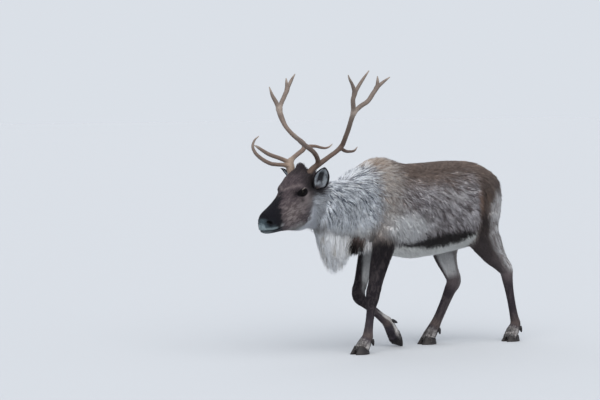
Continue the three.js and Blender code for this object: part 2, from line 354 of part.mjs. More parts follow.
// round tube with closed ends along a table of points; grow thickens it
function tube(rows, sides = 8, n = 1, grow = 0, map = headToBody) {
  const R = n > 1 ? resample(rows, n) : rows, g = grow / SCALE, rings = [];
  const P = R.map((r) => map(r.slice(0, 3)));
  let u = [0.1, 0.3, 1];
  P.forEach((p, i) => {
    const t = unit(sub(P[Math.min(i + 1, P.length - 1)], P[Math.max(i - 1, 0)])); u = unit(sub(u, mul(t, dot(u, t)))); const w = cross(t, u), r = R[i][3] + g;
    const c = i === 0 ? sub(p, mul(t, g)) : i === P.length - 1 ? add(p, mul(t, g)) : p, q = [];
    for (let j = 0; j < sides; j++) { const a = 2 * Math.PI * j / sides; q.push(add(c, add(mul(u, r * Math.cos(a)), mul(w, r * Math.sin(a))))); }
    rings.push(q);
  });
  const e = P.length - 1, t1 = unit(sub(P[e], P[e - 1])), t0 = unit(sub(P[0], P[1]));
  return shell(rings, add(rings[0].reduce(add, [0, 0, 0]).map((v) => v / sides), mul(t0, R[0][3] * 0.5)), add(rings[e].reduce(add, [0, 0, 0]).map((v) => v / sides), mul(t1, R[e][3] * 0.9)));
}

// place a point of a foot: a toward the toe, b out to the left, c up from the sole
function onFoot(foot, turn, a, b, c) {
  const h = rad(foot.head + turn), p = rad(foot.pitch), x = a * Math.cos(p) + c * Math.sin(p), z = -a * Math.sin(p) + c * Math.cos(p);
  return add(foot.at, [x * Math.cos(h) - b * Math.sin(h), x * Math.sin(h) + b * Math.cos(h), z]);
}
// claw: crescent sole lofted up to the coronet
function claw(foot, inner) { // inner = +1 on the left of the cleft, -1 on the right
  const n = 11, rings = [];
  for (const v of [0, 0.45, 1]) {
    const r = [];
    for (let j = 0; j < n; j++) {
      const a = 2 * Math.PI * j / n, ca = Math.cos(a), sa = Math.sin(a);
      const len = CLAW.length * (0.5 - 0.16 * v), width = CLAW.width * (foot.slim || 1), wid = width * (0.5 - 0.10 * v);
      const x = len * ca - 0.014 * v;
      let y = wid * sa * (1 - 0.25 * Math.max(0, ca)) + wid * 1.02 + 0.0012;
      if (ca > 0) y -= width * 0.20 * ca * ca * (1 - 0.3 * v);          // toe curls to the middle
      y = Math.max(y, 0.0012 + 0.002 * (1 - v));
      const top = CLAW.heel + (CLAW.front - CLAW.heel) * (0.5 + 0.5 * ca);
      r.push(onFoot(foot, inner * foot.spread * 0.5, x, inner * y, v * top));
    }
    rings.push(r);
  }
  return shell(rings);
}
function dewclaw(joints, inner) {
  const fetlock = joints[joints.length - 2], down = unit(sub(joints[joints.length - 1], fetlock)), back = unit(cross(down, [0, 1, 0])), sign = back[0] < 0 ? 1 : -1;
  const at = (v) => add(fetlock, add(mul(back, sign * v[0]), add([0, inner * v[1], 0], mul(down, v[2]))));
  return tube([[0, 0.9], [0.35, 1.0], [0.75, 0.72], [1, 0.25]].map(([t, k]) => [...at(mix(DEWCLAW.from, DEWCLAW.to, t)), DEWCLAW.radius * k]), 6, 1, 0, (p) => p);
}

// ---------------------------------------------------------------- assembly
const nodes = [];
const put = (name, body, colour, roughness = 0.85, metalness = 0) => nodes.push({ name, body, colour, roughness, metalness });
const half = (point, normal) => block(point, normal);

// legs: root above the plane joins the trunk, the rest is cut at the carpus or hock
const tilt = rad(HIND_CUT.tilt), hindN = [Math.sin(tilt), 0, Math.cos(tilt)];
const planes = { fore: [[0, 0, FORE_CUT], UP], hind: [[HIND_CUT.f, 0, HIND_CUT.z], hindN] };
const splitAt = { fore: 2.0 / 12, hind: 2.0 / 12 };
const footCut = 0.4;
let trunkAll = trunkBody;
const legParts = {};
for (const [name, s] of Object.entries(legs)) {
  const kind = name.slice(0, 4), joint = kind === 'fore' ? FORE_GIRTH.findIndex((g) => g[0] === 2.07) : HIND_GIRTH.findIndex((g) => g[0] === 3);
  const frac = joint / (FORE_GIRTH.length - 1), [pt, n] = planes[kind];
  const upper = sweepShell(s, whole, 12, 0, frac), lower = sweepShell(s, whole, 12, frac, 1);
  const keepUp = half(add(pt, mul(n, g2)), n), keepDown = half(sub(pt, mul(n, g2)), mul(n, -1));
  trunkAll = trunkAll.add(upper.intersect(keepUp));
  legParts[name] = { upper: upper.intersect(keepDown).subtract(trunkGrown).subtract(neckGrown), lower, lowerGrown: sweepShell(s, whole, 12, frac, 1, 0.02, GAP) };
}
const NAMES = { fore_L: 'foreleg_left', fore_R: 'foreleg_right', hind_L: 'hindleg_left', hind_R: 'hindleg_right' };
const neckBody = neckAll.intersect(half(add(beardP, mul(beardN, g2)), beardN)), beardBody = neckAll.intersect(half(sub(beardP, mul(beardN, g2)), mul(beardN, -1)));
put('trunk', trunkAll.subtract(neckGrown), 0x6e6258, 0.95);
put('beard', beardBody, 0xd9d6cf, 0.95);
put('tail', sweepShell(tail, whole, 9, 0, 1).subtract(trunkGrown), 0x8d8278, 0.95);

// eyes and sockets
for (const s of [1, -1]) {
  const c = headToBody([EYE_AT[0], s * EYE_AT[1], EYE_AT[2]]), p = toMM(c), ball = (r) => { const g = new THREE.SphereGeometry(r * SCALE, 10, 7); g.translate(...p); return fromGeometry(g); };
  headBody = headBody.subtract(ball(EYE_RADIUS + 0.0006));
  put(s > 0 ? 'eye_left' : 'eye_right', ball(EYE_RADIUS), 0x14100e, 0.15);
}
// ears
const earAt = { left: { base: [0.060, 0.115, -0.074], axis: [-0.20, 0.40, 0.89], open: [0.72, 0.68, -0.10] }, right: { base: [0.042, -0.094, -0.078], axis: [-0.42, -0.62, 0.66], open: [0.78, -0.60, -0.12] } };
const allBeams = Object.values(ANTLER).map((a) => tube(a.beam, 8, 1, GAP));
let neckOut = neckBody; for (const b of allBeams) neckOut = neckOut.subtract(b);
for (const [side, e] of Object.entries(earAt)) {
  let m = ear(headToBody(e.base), headDir(e.axis), headDir(e.open)).subtract(headGrown).subtract(neckGrown); for (const b of allBeams) m = m.subtract(b);
  put('ear_' + side, m, 0x4a433f, 0.95);
}
put('neck', neckOut, 0xb9b7b5, 0.95);
// antlers
const tone = [0x7d6650, 0x9a8a76];
for (const [side, a] of Object.entries(ANTLER)) {
  const name = side === 'L' ? 'antler_left_' : 'antler_right_';
  const beamBody = tube(a.beam, 8), beamGrown = tube(a.beam, 8, 1, GAP);
  headBody = headBody.subtract(beamGrown);
  put(name + 'beam', beamBody, tone[0], 0.7);
  const made = [beamGrown];
  for (const tine of ['brow_tine', 'bez_tine', 'back_tine']) if (a[tine]) {
    let t = tube(a[tine], 7); for (const m of made) t = t.subtract(m);
    t = t.subtract(headGrown);
    made.push(tube(a[tine], 7, 1, GAP)); put(name + tine, t, tone[0], 0.7);
  }
  for (const crown of ['crown_front', 'crown_rear']) {
    let t = a[crown].map((r) => tube(r, 7)).reduce((x, y) => x.add(y)); for (const m of made) t = t.subtract(m);
    for (const r of a[crown]) made.push(tube(r, 7, 1, GAP));
    put(name + crown, t, tone[1], 0.7);
  }
}
put('head', headBody, 0x4f4741, 0.95);
// feet
for (const [name, foot] of Object.entries(FEET)) {
  const leg = legParts[name], ground = half([0, 0, 0], UP);
  put(NAMES[name] + '_upper', leg.upper, 0x453c36, 0.95);
  put(NAMES[name] + '_lower', leg.lower, 0x3b332e, 0.95);
  [1, -1].forEach((s, i) => {
    const c = claw(foot, s).intersect(ground).subtract(leg.lowerGrown);
    put(NAMES[name] + (i ? '_claw_right' : '_claw_left'), c, 0x1e1a18, 0.55);
    const joints = (name[0] === 'f' ? FORE_JOINTS : HIND_JOINTS)[name[5]];
    const d = dewclaw(joints, s).intersect(ground).subtract(leg.lowerGrown).subtract(claw(foot, s));
    put(NAMES[name] + (i ? '_dewclaw_right' : '_dewclaw_left'), d, 0x1e1a18, 0.55);
  });
}

// ---------------------------------------------------------------- meshes
const group = new THREE.Group();
group.name = 'reindeer';
const ORIGIN = [261.60, 3.20, 0]; // mm from the animal's own frame to the centre of its bounding box
let total = 0;
const box = new THREE.Box3(), made = [];
for (const n of nodes) {
  const parts = n.body.decompose(); let keep = n.body;
  if (parts.length > 1) { parts.sort((a, b) => b.volume() - a.volume()); keep = parts[0]; }
  const m = keep.getMesh(), g = new THREE.BufferGeometry();
  const step = m.numProp, pos = new Float32Array(m.vertProperties.length / step * 3);
  for (let i = 0; i < pos.length / 3; i++) for (let c = 0; c < 3; c++) pos[3 * i + c] = m.vertProperties[step * i + c] + ORIGIN[c];
  g.setAttribute('position', new THREE.BufferAttribute(pos, 3)); g.setIndex([...m.triVerts]); g.computeVertexNormals(); g.computeBoundingBox(); box.union(g.boundingBox);
  total += m.triVerts.length / 3;
  n.info = `${n.name} tris ${m.triVerts.length / 3} parts ${parts.length} vol ${(keep.volume() / 1e6).toFixed(4)} L genus ${keep.genus()}`;
  const mesh = new THREE.Mesh(g, new THREE.MeshStandardMaterial({ color: n.colour, roughness: n.roughness, metalness: n.metalness }));
  mesh.name = n.name; made.push(mesh); group.add(mesh);
}
export const report = nodes.map((n) => n.info).concat([`total ${total}`, `box ${box.min.toArray().map((v) => v.toFixed(1))} ${box.max.toArray().map((v) => v.toFixed(1))}`]);
export default group;
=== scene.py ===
import json
import math
import bpy
import bmesh
import numpy as np
from mathutils import Matrix, Vector

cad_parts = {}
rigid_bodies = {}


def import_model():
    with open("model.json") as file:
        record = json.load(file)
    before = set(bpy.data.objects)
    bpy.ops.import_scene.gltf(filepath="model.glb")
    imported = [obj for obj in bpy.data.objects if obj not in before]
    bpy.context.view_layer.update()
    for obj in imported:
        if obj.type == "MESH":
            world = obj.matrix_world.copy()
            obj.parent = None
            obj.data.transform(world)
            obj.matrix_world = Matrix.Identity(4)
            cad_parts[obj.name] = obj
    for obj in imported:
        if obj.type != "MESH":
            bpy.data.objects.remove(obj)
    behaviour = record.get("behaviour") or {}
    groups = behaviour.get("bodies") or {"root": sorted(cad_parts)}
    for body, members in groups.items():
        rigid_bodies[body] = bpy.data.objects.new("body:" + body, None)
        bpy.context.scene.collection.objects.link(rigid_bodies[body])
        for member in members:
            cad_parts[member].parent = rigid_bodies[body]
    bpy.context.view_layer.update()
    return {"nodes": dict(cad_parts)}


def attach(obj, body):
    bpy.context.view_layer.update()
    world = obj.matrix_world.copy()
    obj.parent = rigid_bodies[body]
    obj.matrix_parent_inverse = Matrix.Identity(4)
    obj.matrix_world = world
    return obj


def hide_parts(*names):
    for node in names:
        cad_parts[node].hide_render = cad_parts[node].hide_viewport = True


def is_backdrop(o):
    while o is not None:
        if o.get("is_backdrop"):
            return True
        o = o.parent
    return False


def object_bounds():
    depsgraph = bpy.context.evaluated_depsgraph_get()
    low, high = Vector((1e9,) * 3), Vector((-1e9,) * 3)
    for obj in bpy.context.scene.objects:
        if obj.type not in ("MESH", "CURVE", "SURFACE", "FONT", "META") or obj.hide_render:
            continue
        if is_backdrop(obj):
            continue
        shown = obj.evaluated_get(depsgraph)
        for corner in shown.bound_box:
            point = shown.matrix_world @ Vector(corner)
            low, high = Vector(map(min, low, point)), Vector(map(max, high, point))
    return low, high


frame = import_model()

D2R = math.pi / 180

# ------------------------------------------------------------------ sizes, in the animal's own frame
# f forward, l to its left, z up, in metres; the model's frame is x = -f, y = -l, moved to the box centre
SHIFT = np.array([0.2616, 0.0032, 0.0])
HEAD_AT, HEAD_YAW, HEAD_PITCH = np.array([0.840, 0.030, 0.994]), 11.0, 22.0
EYE_AT, EYE_RADIUS = np.array([0.141, 0.0665, -0.056]), 0.0178
EAR = {'length': 0.134, 'width': 0.046, 'thick': 0.0075}
EARS = {'left': dict(base=[0.060, 0.115, -0.074], axis=[-0.20, 0.40, 0.89], open=[0.72, 0.68, -0.10]),
        'right': dict(base=[0.042, -0.094, -0.078], axis=[-0.42, -0.62, 0.66], open=[0.78, -0.60, -0.12])}

# Body sections, from the rump forward: f, l, z of the centre, half width, rise, drop, squareness
TRUNK = [
  [-0.556, 0, 0.850, 0.016, 0.030, 0.030, 2.0], [-0.548, 0, 0.842, 0.045, 0.070, 0.080, 2.0],
  [-0.528, 0, 0.826, 0.082, 0.118, 0.140, 2.0], [-0.500, 0, 0.805, 0.122, 0.163, 0.185, 2.1], # buttocks
  [-0.460, 0, 0.790, 0.154, 0.198, 0.208, 2.2], [-0.410, 0, 0.780, 0.180, 0.228, 0.220, 2.3],
  [-0.340, 0, 0.775, 0.199, 0.254, 0.230, 2.3], # croup
  [-0.190, 0, 0.765, 0.210, 0.270, 0.245, 2.3], [-0.040, 0, 0.755, 0.218, 0.274, 0.252, 2.3], # loin
  [0.110, 0, 0.755, 0.216, 0.272, 0.256, 2.3], [0.200, 0, 0.765, 0.207, 0.274, 0.248, 2.3],   # ribs
  [0.290, 0, 0.785, 0.196, 0.272, 0.243, 2.3], [0.370, 0, 0.795, 0.186, 0.246, 0.232, 2.2],   # withers
  [0.450, 0, 0.788, 0.162, 0.198, 0.213, 2.2], [0.525, 0, 0.785, 0.118, 0.150, 0.180, 2.1],   # breast
  [0.564, 0, 0.785, 0.050, 0.070, 0.100, 2.0]]
NECK = [
  [0.300, 0, 0.810, 0.155, 0.165, 0.190, 2.1], [0.440, 0, 0.815, 0.150, 0.180, 0.195, 2.1],
  [0.540, 0.003, 0.810, 0.136, 0.146, 0.188, 2.1], [0.650, 0.010, 0.818, 0.120, 0.132, 0.168, 2.1],
  [0.740, 0.018, 0.838, 0.104, 0.118, 0.150, 2.1], [0.820, 0.028, 0.862, 0.090, 0.112, 0.140, 2.1],
  [0.880, 0.040, 0.880, 0.078, 0.080, 0.118, 2.1]]
BEARD = [ # hair hanging from the throat to the breast
  [0.450, 0, 0.712, 0.084, 0.10, 0.078, 2.0], [0.500, 0, 0.697, 0.082, 0.12, 0.112, 1.9],
  [0.545, 0, 0.684, 0.078, 0.14, 0.152, 2.0], [0.590, 0.002, 0.668, 0.074, 0.15, 0.196, 2.0],
  [0.630, 0.005, 0.660, 0.070, 0.15, 0.210, 2.0], [0.665, 0.008, 0.672, 0.066, 0.14, 0.180, 2.0],
  [0.698, 0.012, 0.698, 0.060, 0.13, 0.148, 2.0], [0.730, 0.015, 0.726, 0.053, 0.11, 0.110, 2.0],
  [0.756, 0.018, 0.752, 0.043, 0.08, 0.070, 2.0], [0.774, 0.020, 0.772, 0.024, 0.04, 0.036, 2.0]]
# Head sections in the head frame (x to the nose, y left, z up), same columns
HEAD = [
  [-0.030, 0, -0.075, 0.080, 0.072, 0.115, 2.1], [0.030, 0, -0.070, 0.084, 0.112, 0.146, 2.2],  # poll
  [0.080, 0, -0.078, 0.083, 0.122, 0.168, 2.3], [0.130, 0, -0.088, 0.078, 0.119, 0.176, 2.4],   # brow
  [0.180, 0, -0.095, 0.068, 0.096, 0.166, 2.4], [0.230, 0, -0.104, 0.057, 0.081, 0.144, 2.3],   # stop
  [0.280, 0, -0.112, 0.050, 0.076, 0.114, 2.3], [0.330, 0, -0.118, 0.048, 0.072, 0.086, 2.3],
  [0.370, 0, -0.120, 0.049, 0.068, 0.071, 2.3], [0.402, 0, -0.120, 0.046, 0.062, 0.059, 2.3],   # muzzle
  [0.424, 0, -0.116, 0.038, 0.050, 0.046, 2.2], [0.439, 0, -0.110, 0.020, 0.028, 0.025, 2.0]]
TAIL = [
  [-0.500, 0, 0.930, 0.030, 0.024, 0.034, 2], [-0.545, 0, 0.908, 0.034, 0.028, 0.028, 2],
  [-0.566, 0, 0.868, 0.036, 0.027, 0.026, 2], [-0.572, 0, 0.820, 0.031, 0.024, 0.022, 2],
  [-0.570, 0, 0.782, 0.019, 0.015, 0.014, 2], [-0.568, 0, 0.762, 0.006, 0.005, 0.005, 2]]

# Joints of each leg, then girths along it: joint index, half width, front, back
FORE_JOINTS = {
  'L': [[0.355, 0.112, 0.700], [0.374, 0.120, 0.610], [0.436, 0.108, 0.312], [0.458, 0.090, 0.092], [0.495, 0.085, 0.022]],
  'R': [[0.300, -0.112, 0.700], [0.268, -0.120, 0.600], [0.362, -0.107, 0.292], [0.160, -0.092, 0.140], [0.104, -0.090, 0.052]] }
FORE_GIRTH = [[0, 0.055, 0.080, 0.080], [1, 0.056, 0.068, 0.070], [1.23, 0.048, 0.056, 0.060], [1.5, 0.041, 0.048, 0.050],
  [1.76, 0.036, 0.041, 0.043], [1.93, 0.038, 0.043, 0.040], [2.07, 0.036, 0.041, 0.038], [2.27, 0.027, 0.030, 0.029],
  [2.57, 0.0225, 0.025, 0.026], [2.84, 0.0245, 0.027, 0.029], [3, 0.030, 0.031, 0.034], [3.5, 0.036, 0.038, 0.038], [4, 0.043, 0.040, 0.034]]
HIND_JOINTS = {
  'L': [[-0.340, 0.105, 0.740], [-0.362, 0.118, 0.640], [-0.432, 0.119, 0.520], [-0.556, 0.109, 0.408], [-0.640, 0.102, 0.095], [-0.602, 0.104, 0.022]],
  'R': [[-0.300, -0.105, 0.740], [-0.288, -0.118, 0.640], [-0.292, -0.118, 0.500], [-0.350, -0.107, 0.345], [-0.186, -0.083, 0.100], [-0.128, -0.075, 0.022]] }
HIND_GIRTH = [[0, 0.062, 0.115, 0.105], [1, 0.066, 0.118, 0.112], [1.55, 0.058, 0.098, 0.100], [2.1, 0.049, 0.070, 0.082], [2.65, 0.039, 0.047, 0.056],
  [3, 0.034, 0.041, 0.047], [3.18, 0.030, 0.032, 0.036], [3.4, 0.0245, 0.026, 0.028], [3.67, 0.0225, 0.024, 0.026], [3.87, 0.0245, 0.026, 0.029],
  [4, 0.030, 0.031, 0.034], [4.5, 0.036, 0.038, 0.038], [5, 0.043, 0.040, 0.034]]


def vary(rows, front, back):
    """girths with more or less in front and behind, row by row"""
    at = lambda t, i: t[i] if i < len(t) else 0
    return [[r[0], r[1], r[2] + at(front, i), r[3] + at(back, i)] for i, r in enumerate(rows)]


FORE_GIRTHS = {
  'L': vary(FORE_GIRTH, [], [0, 0.008, 0.012, 0.006, 0.001]),
  'R': vary(FORE_GIRTH, [0, -0.008, -0.014, -0.010, -0.005, -0.004, -0.006, 0, 0, 0, 0, -0.007, -0.006], []) }
HIND_GIRTHS = {
  'L': HIND_GIRTH,
  'R': vary(HIND_GIRTH, [], [0, 0, 0, 0, 0.002, 0.009, 0.010, 0.014, 0.013, 0.008, 0.004]) }


# Swellings: centre, radii, frame
SWELLS = [
  { 'at': [0.137, 0.056, -0.036], 'r': [0.048, 0.026, 0.034], 'head': True, 'k': 0.02 },
  { 'at': [0.137, -0.056, -0.036], 'r': [0.048, 0.026, 0.034], 'head': True, 'k': 0.02 },
  { 'at': [0.036, 0, 0.040], 'r': [0.027, 0.022, 0.029], 'head': True, 'k': 0.022 }]

# Antlers in the head frame: x, y, z, half width; every section is round
ANTLER = {
  'L': {
    'beam': [[0.045, 0.048, -0.012, 0.0170], [0.028, 0.052, 0.012, 0.0165], [-0.004, 0.060, 0.024, 0.0155], [-0.029, 0.075, 0.033, 0.0145], [-0.093, 0.095, 0.046, 0.0125],
      [-0.156, 0.113, 0.058, 0.0125], [-0.187, 0.130, 0.077, 0.0130], [-0.187, 0.165, 0.121, 0.0125], [-0.191, 0.200, 0.171, 0.0125], [-0.193, 0.232, 0.223, 0.0130], [-0.200, 0.257, 0.263, 0.0145]],
    'bez_tine': [[-0.023, 0.073, 0.036, 0.0120], [-0.021, 0.085, 0.064, 0.0125], [0.021, 0.110, 0.124, 0.0125], [0.085, 0.130, 0.187, 0.0125], [0.136, 0.140, 0.238, 0.0110], [0.160, 0.145, 0.274, 0.0085], [0.173, 0.148, 0.300, 0.0030]],
    'back_tine': [[-0.178, 0.124, 0.064, 0.0100], [-0.214, 0.120, 0.032, 0.0090], [-0.252, 0.115, 0.013, 0.0075], [-0.302, 0.105, -0.003, 0.0060], [-0.338, 0.100, 0.002, 0.0025]],
    'crown_front': [[[-0.199, 0.254, 0.258, 0.0125], [-0.195, 0.270, 0.308, 0.0125], [-0.193, 0.280, 0.341, 0.0120], [-0.206, 0.290, 0.372, 0.0125], [-0.194, 0.300, 0.422, 0.0090], [-0.177, 0.305, 0.463, 0.0060], [-0.169, 0.310, 0.488, 0.0030]],
      [[-0.205, 0.289, 0.368, 0.0105], [-0.256, 0.295, 0.400, 0.0095], [-0.310, 0.295, 0.421, 0.0070], [-0.357, 0.295, 0.438, 0.0030]]],
    'crown_rear': [[[-0.202, 0.256, 0.264, 0.0125], [-0.248, 0.275, 0.281, 0.0120], [-0.291, 0.290, 0.289, 0.0120], [-0.339, 0.300, 0.315, 0.0120], [-0.375, 0.308, 0.339, 0.0110], [-0.386, 0.312, 0.368, 0.0080], [-0.390, 0.315, 0.392, 0.0030]],
      [[-0.368, 0.306, 0.334, 0.0100], [-0.419, 0.318, 0.347, 0.0085], [-0.475, 0.325, 0.354, 0.0030]]] },
  'R': {
    'beam': [[0.066, -0.044, -0.012, 0.0175], [0.062, -0.048, 0.015, 0.0185], [0.047, -0.058, 0.043, 0.0230], [0.033, -0.066, 0.066, 0.0205], [-0.006, -0.075, 0.074, 0.0135], [-0.083, -0.095, 0.070, 0.0125], [-0.153, -0.112, 0.069, 0.0125],
      [-0.181, -0.128, 0.080, 0.0130], [-0.177, -0.145, 0.104, 0.0125], [-0.171, -0.172, 0.132, 0.0120], [-0.166, -0.192, 0.161, 0.0115], [-0.174, -0.222, 0.194, 0.0120], [-0.190, -0.248, 0.236, 0.0150], [-0.203, -0.262, 0.276, 0.0160]],
    'brow_tine': [[0.047, -0.060, 0.050, 0.0130], [0.082, -0.066, 0.075, 0.0110], [0.127, -0.072, 0.097, 0.0105], [0.171, -0.078, 0.123, 0.0105], [0.213, -0.088, 0.167, 0.0100], [0.237, -0.098, 0.211, 0.0090], [0.234, -0.108, 0.246, 0.0075], [0.201, -0.115, 0.267, 0.0055], [0.156, -0.120, 0.272, 0.0028]],
    'bez_tine': [[0.036, -0.066, 0.070, 0.0125], [0.082, -0.080, 0.113, 0.0110], [0.131, -0.100, 0.155, 0.0105], [0.164, -0.118, 0.197, 0.0090], [0.178, -0.128, 0.219, 0.0070], [0.186, -0.138, 0.232, 0.0030]],
    'back_tine': [[-0.168, -0.121, 0.070, 0.0100], [-0.209, -0.120, 0.058, 0.0095], [-0.251, -0.115, 0.040, 0.0085], [-0.284, -0.108, 0.018, 0.0075], [-0.311, -0.100, 0.004, 0.0060], [-0.339, -0.095, 0.001, 0.0045], [-0.358, -0.088, 0.008, 0.0025]],
    'crown_front': [[[-0.203, -0.260, 0.272, 0.0125], [-0.206, -0.272, 0.314, 0.0120], [-0.205, -0.285, 0.353, 0.0095], [-0.215, -0.300, 0.401, 0.0030]]],
    'crown_rear': [[[-0.205, -0.260, 0.276, 0.0130], [-0.247, -0.272, 0.297, 0.0125], [-0.298, -0.285, 0.315, 0.0125], [-0.349, -0.300, 0.335, 0.0120], [-0.362, -0.305, 0.365, 0.0080], [-0.374, -0.310, 0.388, 0.0030]],
      [[-0.345, -0.299, 0.333, 0.0105], [-0.405, -0.308, 0.360, 0.0090], [-0.457, -0.315, 0.379, 0.0030]]] } }

# Feet: coronet centre over the sole, heading in degrees (0 = forward, + to its left), spread of the claws
CLAW = { 'length': 0.102, 'width': 0.047, 'front': 0.047, 'heel': 0.030 }
DEWCLAW = { 'from': [0.022, 0.020, 0.002], 'to': [0.058, 0.032, 0.032], 'radius': 0.0115 } # behind, beside and below the fetlock
FEET = { # sole centre, heading, spread of the claws, nose-down pitch of the sole
  'fore_L': { 'at': [0.512, 0.086, 0], 'head': 4, 'spread': 15, 'pitch': 0 },
  'fore_R': { 'at': [0.072, -0.090, 0.0470], 'head': -14, 'spread': 3, 'pitch': 108, 'slim': 0.76 },
  'hind_L': { 'at': [-0.598, 0.104, 0], 'head': 6, 'spread': 10, 'pitch': 0 },
  'hind_R': { 'at': [-0.120, -0.075, 0], 'head': -4, 'spread': 12, 'pitch': 0 } }


# ------------------------------------------------------------------ frames and small helpers
def to_row(P):
    P = np.asarray(P, float)
    return np.stack([-P[..., 0], -P[..., 1], P[..., 2]], -1) + SHIFT


def dir_row(V):
    V = np.asarray(V, float)
    return np.stack([-V[..., 0], -V[..., 1], V[..., 2]], -1)


def unit(V):
    V = np.asarray(V, float)
    return V / np.maximum(np.linalg.norm(V, axis=-1, keepdims=True), 1e-12)


_y, _p = HEAD_YAW * D2R, HEAD_PITCH * D2R
HEAD_R = (np.array([[math.cos(_y), -math.sin(_y), 0], [math.sin(_y), math.cos(_y), 0], [0, 0, 1]])
          @ np.array([[math.cos(_p), 0, math.sin(_p)], [0, 1, 0], [-math.sin(_p), 0, math.cos(_p)]]))


def head_to_body(P): return HEAD_AT + np.asarray(P, float) @ HEAD_R.T
def body_to_head(P): return (np.asarray(P, float) - HEAD_AT) @ HEAD_R
def head_dir(V): return np.asarray(V, float) @ HEAD_R.T


def sstep(a, b, x):
    t = np.clip((x - a) / (b - a), 0, 1)
    return t * t * (3 - 2 * t)


def gauss(x, s): return np.exp(-0.5 * (x / s) ** 2)


def resample(rows, n):
    R = np.array(rows, float)
    t = np.concatenate([[0], np.cumsum(np.sqrt(np.linalg.norm(np.diff(R, axis=0), axis=1)))])
    d = np.diff(R, axis=0) / np.diff(t)[:, None]
    m = np.zeros_like(R)
    m[0], m[-1] = d[0], d[-1]
    for i in range(1, len(R) - 1):
        h0, h1 = t[i] - t[i - 1], t[i + 1] - t[i]
        m[i] = (d[i - 1] * h1 + d[i] * h0) / (h0 + h1)
    out = []
    for i in range(len(R) - 1):
        h = t[i + 1] - t[i]
        for j in range(n):
            u = j / n
            out.append((2 * u ** 3 - 3 * u * u + 1) * R[i] + (u ** 3 - 2 * u * u + u) * h * m[i]
                       + (3 * u * u - 2 * u ** 3) * R[i + 1] + (u ** 3 - u * u) * h * m[i + 1])
    out.append(R[-1])
    out = np.array(out)
    out[:, 3:6] = np.maximum(out[:, 3:6], 0.002)
    return out


# ------------------------------------------------------------------ the body as one smooth field
class Sweep:
    """swept oval sections; the field is negative inside"""

    def __init__(s, rows, up, k, head=False, axis=None, bent=False, inset=0.0, n=3):
        s.R = resample(rows, n)
        A = s.R[:, :3]
        if axis is not None:
            s.T = np.tile(np.array(axis, float), (len(A), 1))
        else:
            s.T = unit(np.vstack([A[1] - A[0], A[2:] - A[:-2], A[-1] - A[-2]]))
        s.up, s.k, s.head, s.bent, s.inset = np.array(up, float), k, head, bent, inset
        m = s.R[:, 3:6].max(1)[:, None]
        s.lo, s.hi = (A - m).min(0), (A + m).max(0)

    def __call__(s, P):
        out = np.full(len(P), 9.0)
        R, T, n = s.R, s.T, len(s.R)
        D = P @ T.T - (R[:, :3] * T).sum(1)
        for i in range(n - 1):
            m = ((D[:, i] >= -0.05) & (D[:, i + 1] <= 0.05)) if s.bent else ((D[:, i] >= 0) & (D[:, i + 1] <= 0))
            if i == 0: m |= D[:, 0] < 0
            if i == n - 2: m |= D[:, n - 1] > 0
            ix = np.nonzero(m)[0]
            if not len(ix): continue
            da, db = D[ix, i], D[ix, i + 1]
            t = np.clip(da / np.where(np.abs(da - db) > 1e-9, da - db, 1), 0, 1)[:, None]
            row = R[i] + (R[i + 1] - R[i]) * t
            q, tn = P[ix] - row[:, :3], unit(T[i] * (1 - t) + T[i + 1] * t)
            ax = np.abs((q * tn).sum(1))
            u = unit(s.up - tn * (tn @ s.up)[:, None])
            x, y = (q * np.cross(u, tn)).sum(1), (q * u).sum(1)
            ry, e = np.where(y > 0, row[:, 4], row[:, 5]), row[:, 6]
            rho = (np.abs(x / row[:, 3]) ** e + np.abs(y / ry) ** e) ** (1 / e)
            inside = np.minimum(row[:, 3], ry)
            d = np.maximum(np.where(rho > 1e-6, np.hypot(x, y) * (1 - 1 / np.maximum(rho, 1e-6)), -inside), -inside)
            t = t[:, 0]
            cl = (t <= 0) | (t >= 1)
            cap = np.hypot(np.maximum(d, 0), ax)
            if s.bent:
                end = ((t <= 0) & (i == 0)) | ((t >= 1) & (i == n - 2))
                cap = np.where((d < 0) & ~end, d + ax, cap)
            out[ix] = np.minimum(out[ix], np.where(cl, cap, d))
        return out + (s.inset(P) if callable(s.inset) else s.inset)


class Swell:
    def __init__(s, at, r, k, inset=0.0):
        s.c, s.r, s.k, s.head, s.inset = np.array(at, float), np.array(r, float), k, True, inset
        s.lo, s.hi = s.c - s.r.max(), s.c + s.r.max()

    def __call__(s, P):
        q = P - s.c
        k0, k1 = np.linalg.norm(q / s.r, axis=1), np.linalg.norm(q / s.r ** 2, axis=1)
        return np.where(k1 > 1e-9, k0 * (k0 - 1) / np.maximum(k1, 1e-9), -s.r.min()) + s.inset


def smin(a, b, k):
    h = np.maximum(k - np.abs(a - b), 0) / k
    return np.minimum(a, b) - h * h * k * 0.25


def leg_rows(joints, girth):
    out, J = [], np.array(joints, float)
    for s, w, a, b in girth:
        i = min(int(s), len(J) - 2)
        out.append([*(J[i] + (J[i + 1] - J[i]) * (s - i)), w, a, b, 2])
    return out


# how deep the coat lies over the skin in each part, in metres
def coat_trunk(P): return 0.021 + 0.003 * sstep(0.70, 0.60, P[:, 2])
def coat_leg(P): return 0.0022 + 0.0133 * sstep(0.42, 0.66, P[:, 2])
def coat_head(P): return 0.0035 + 0.010 * sstep(0.075, -0.03, P[:, 0])


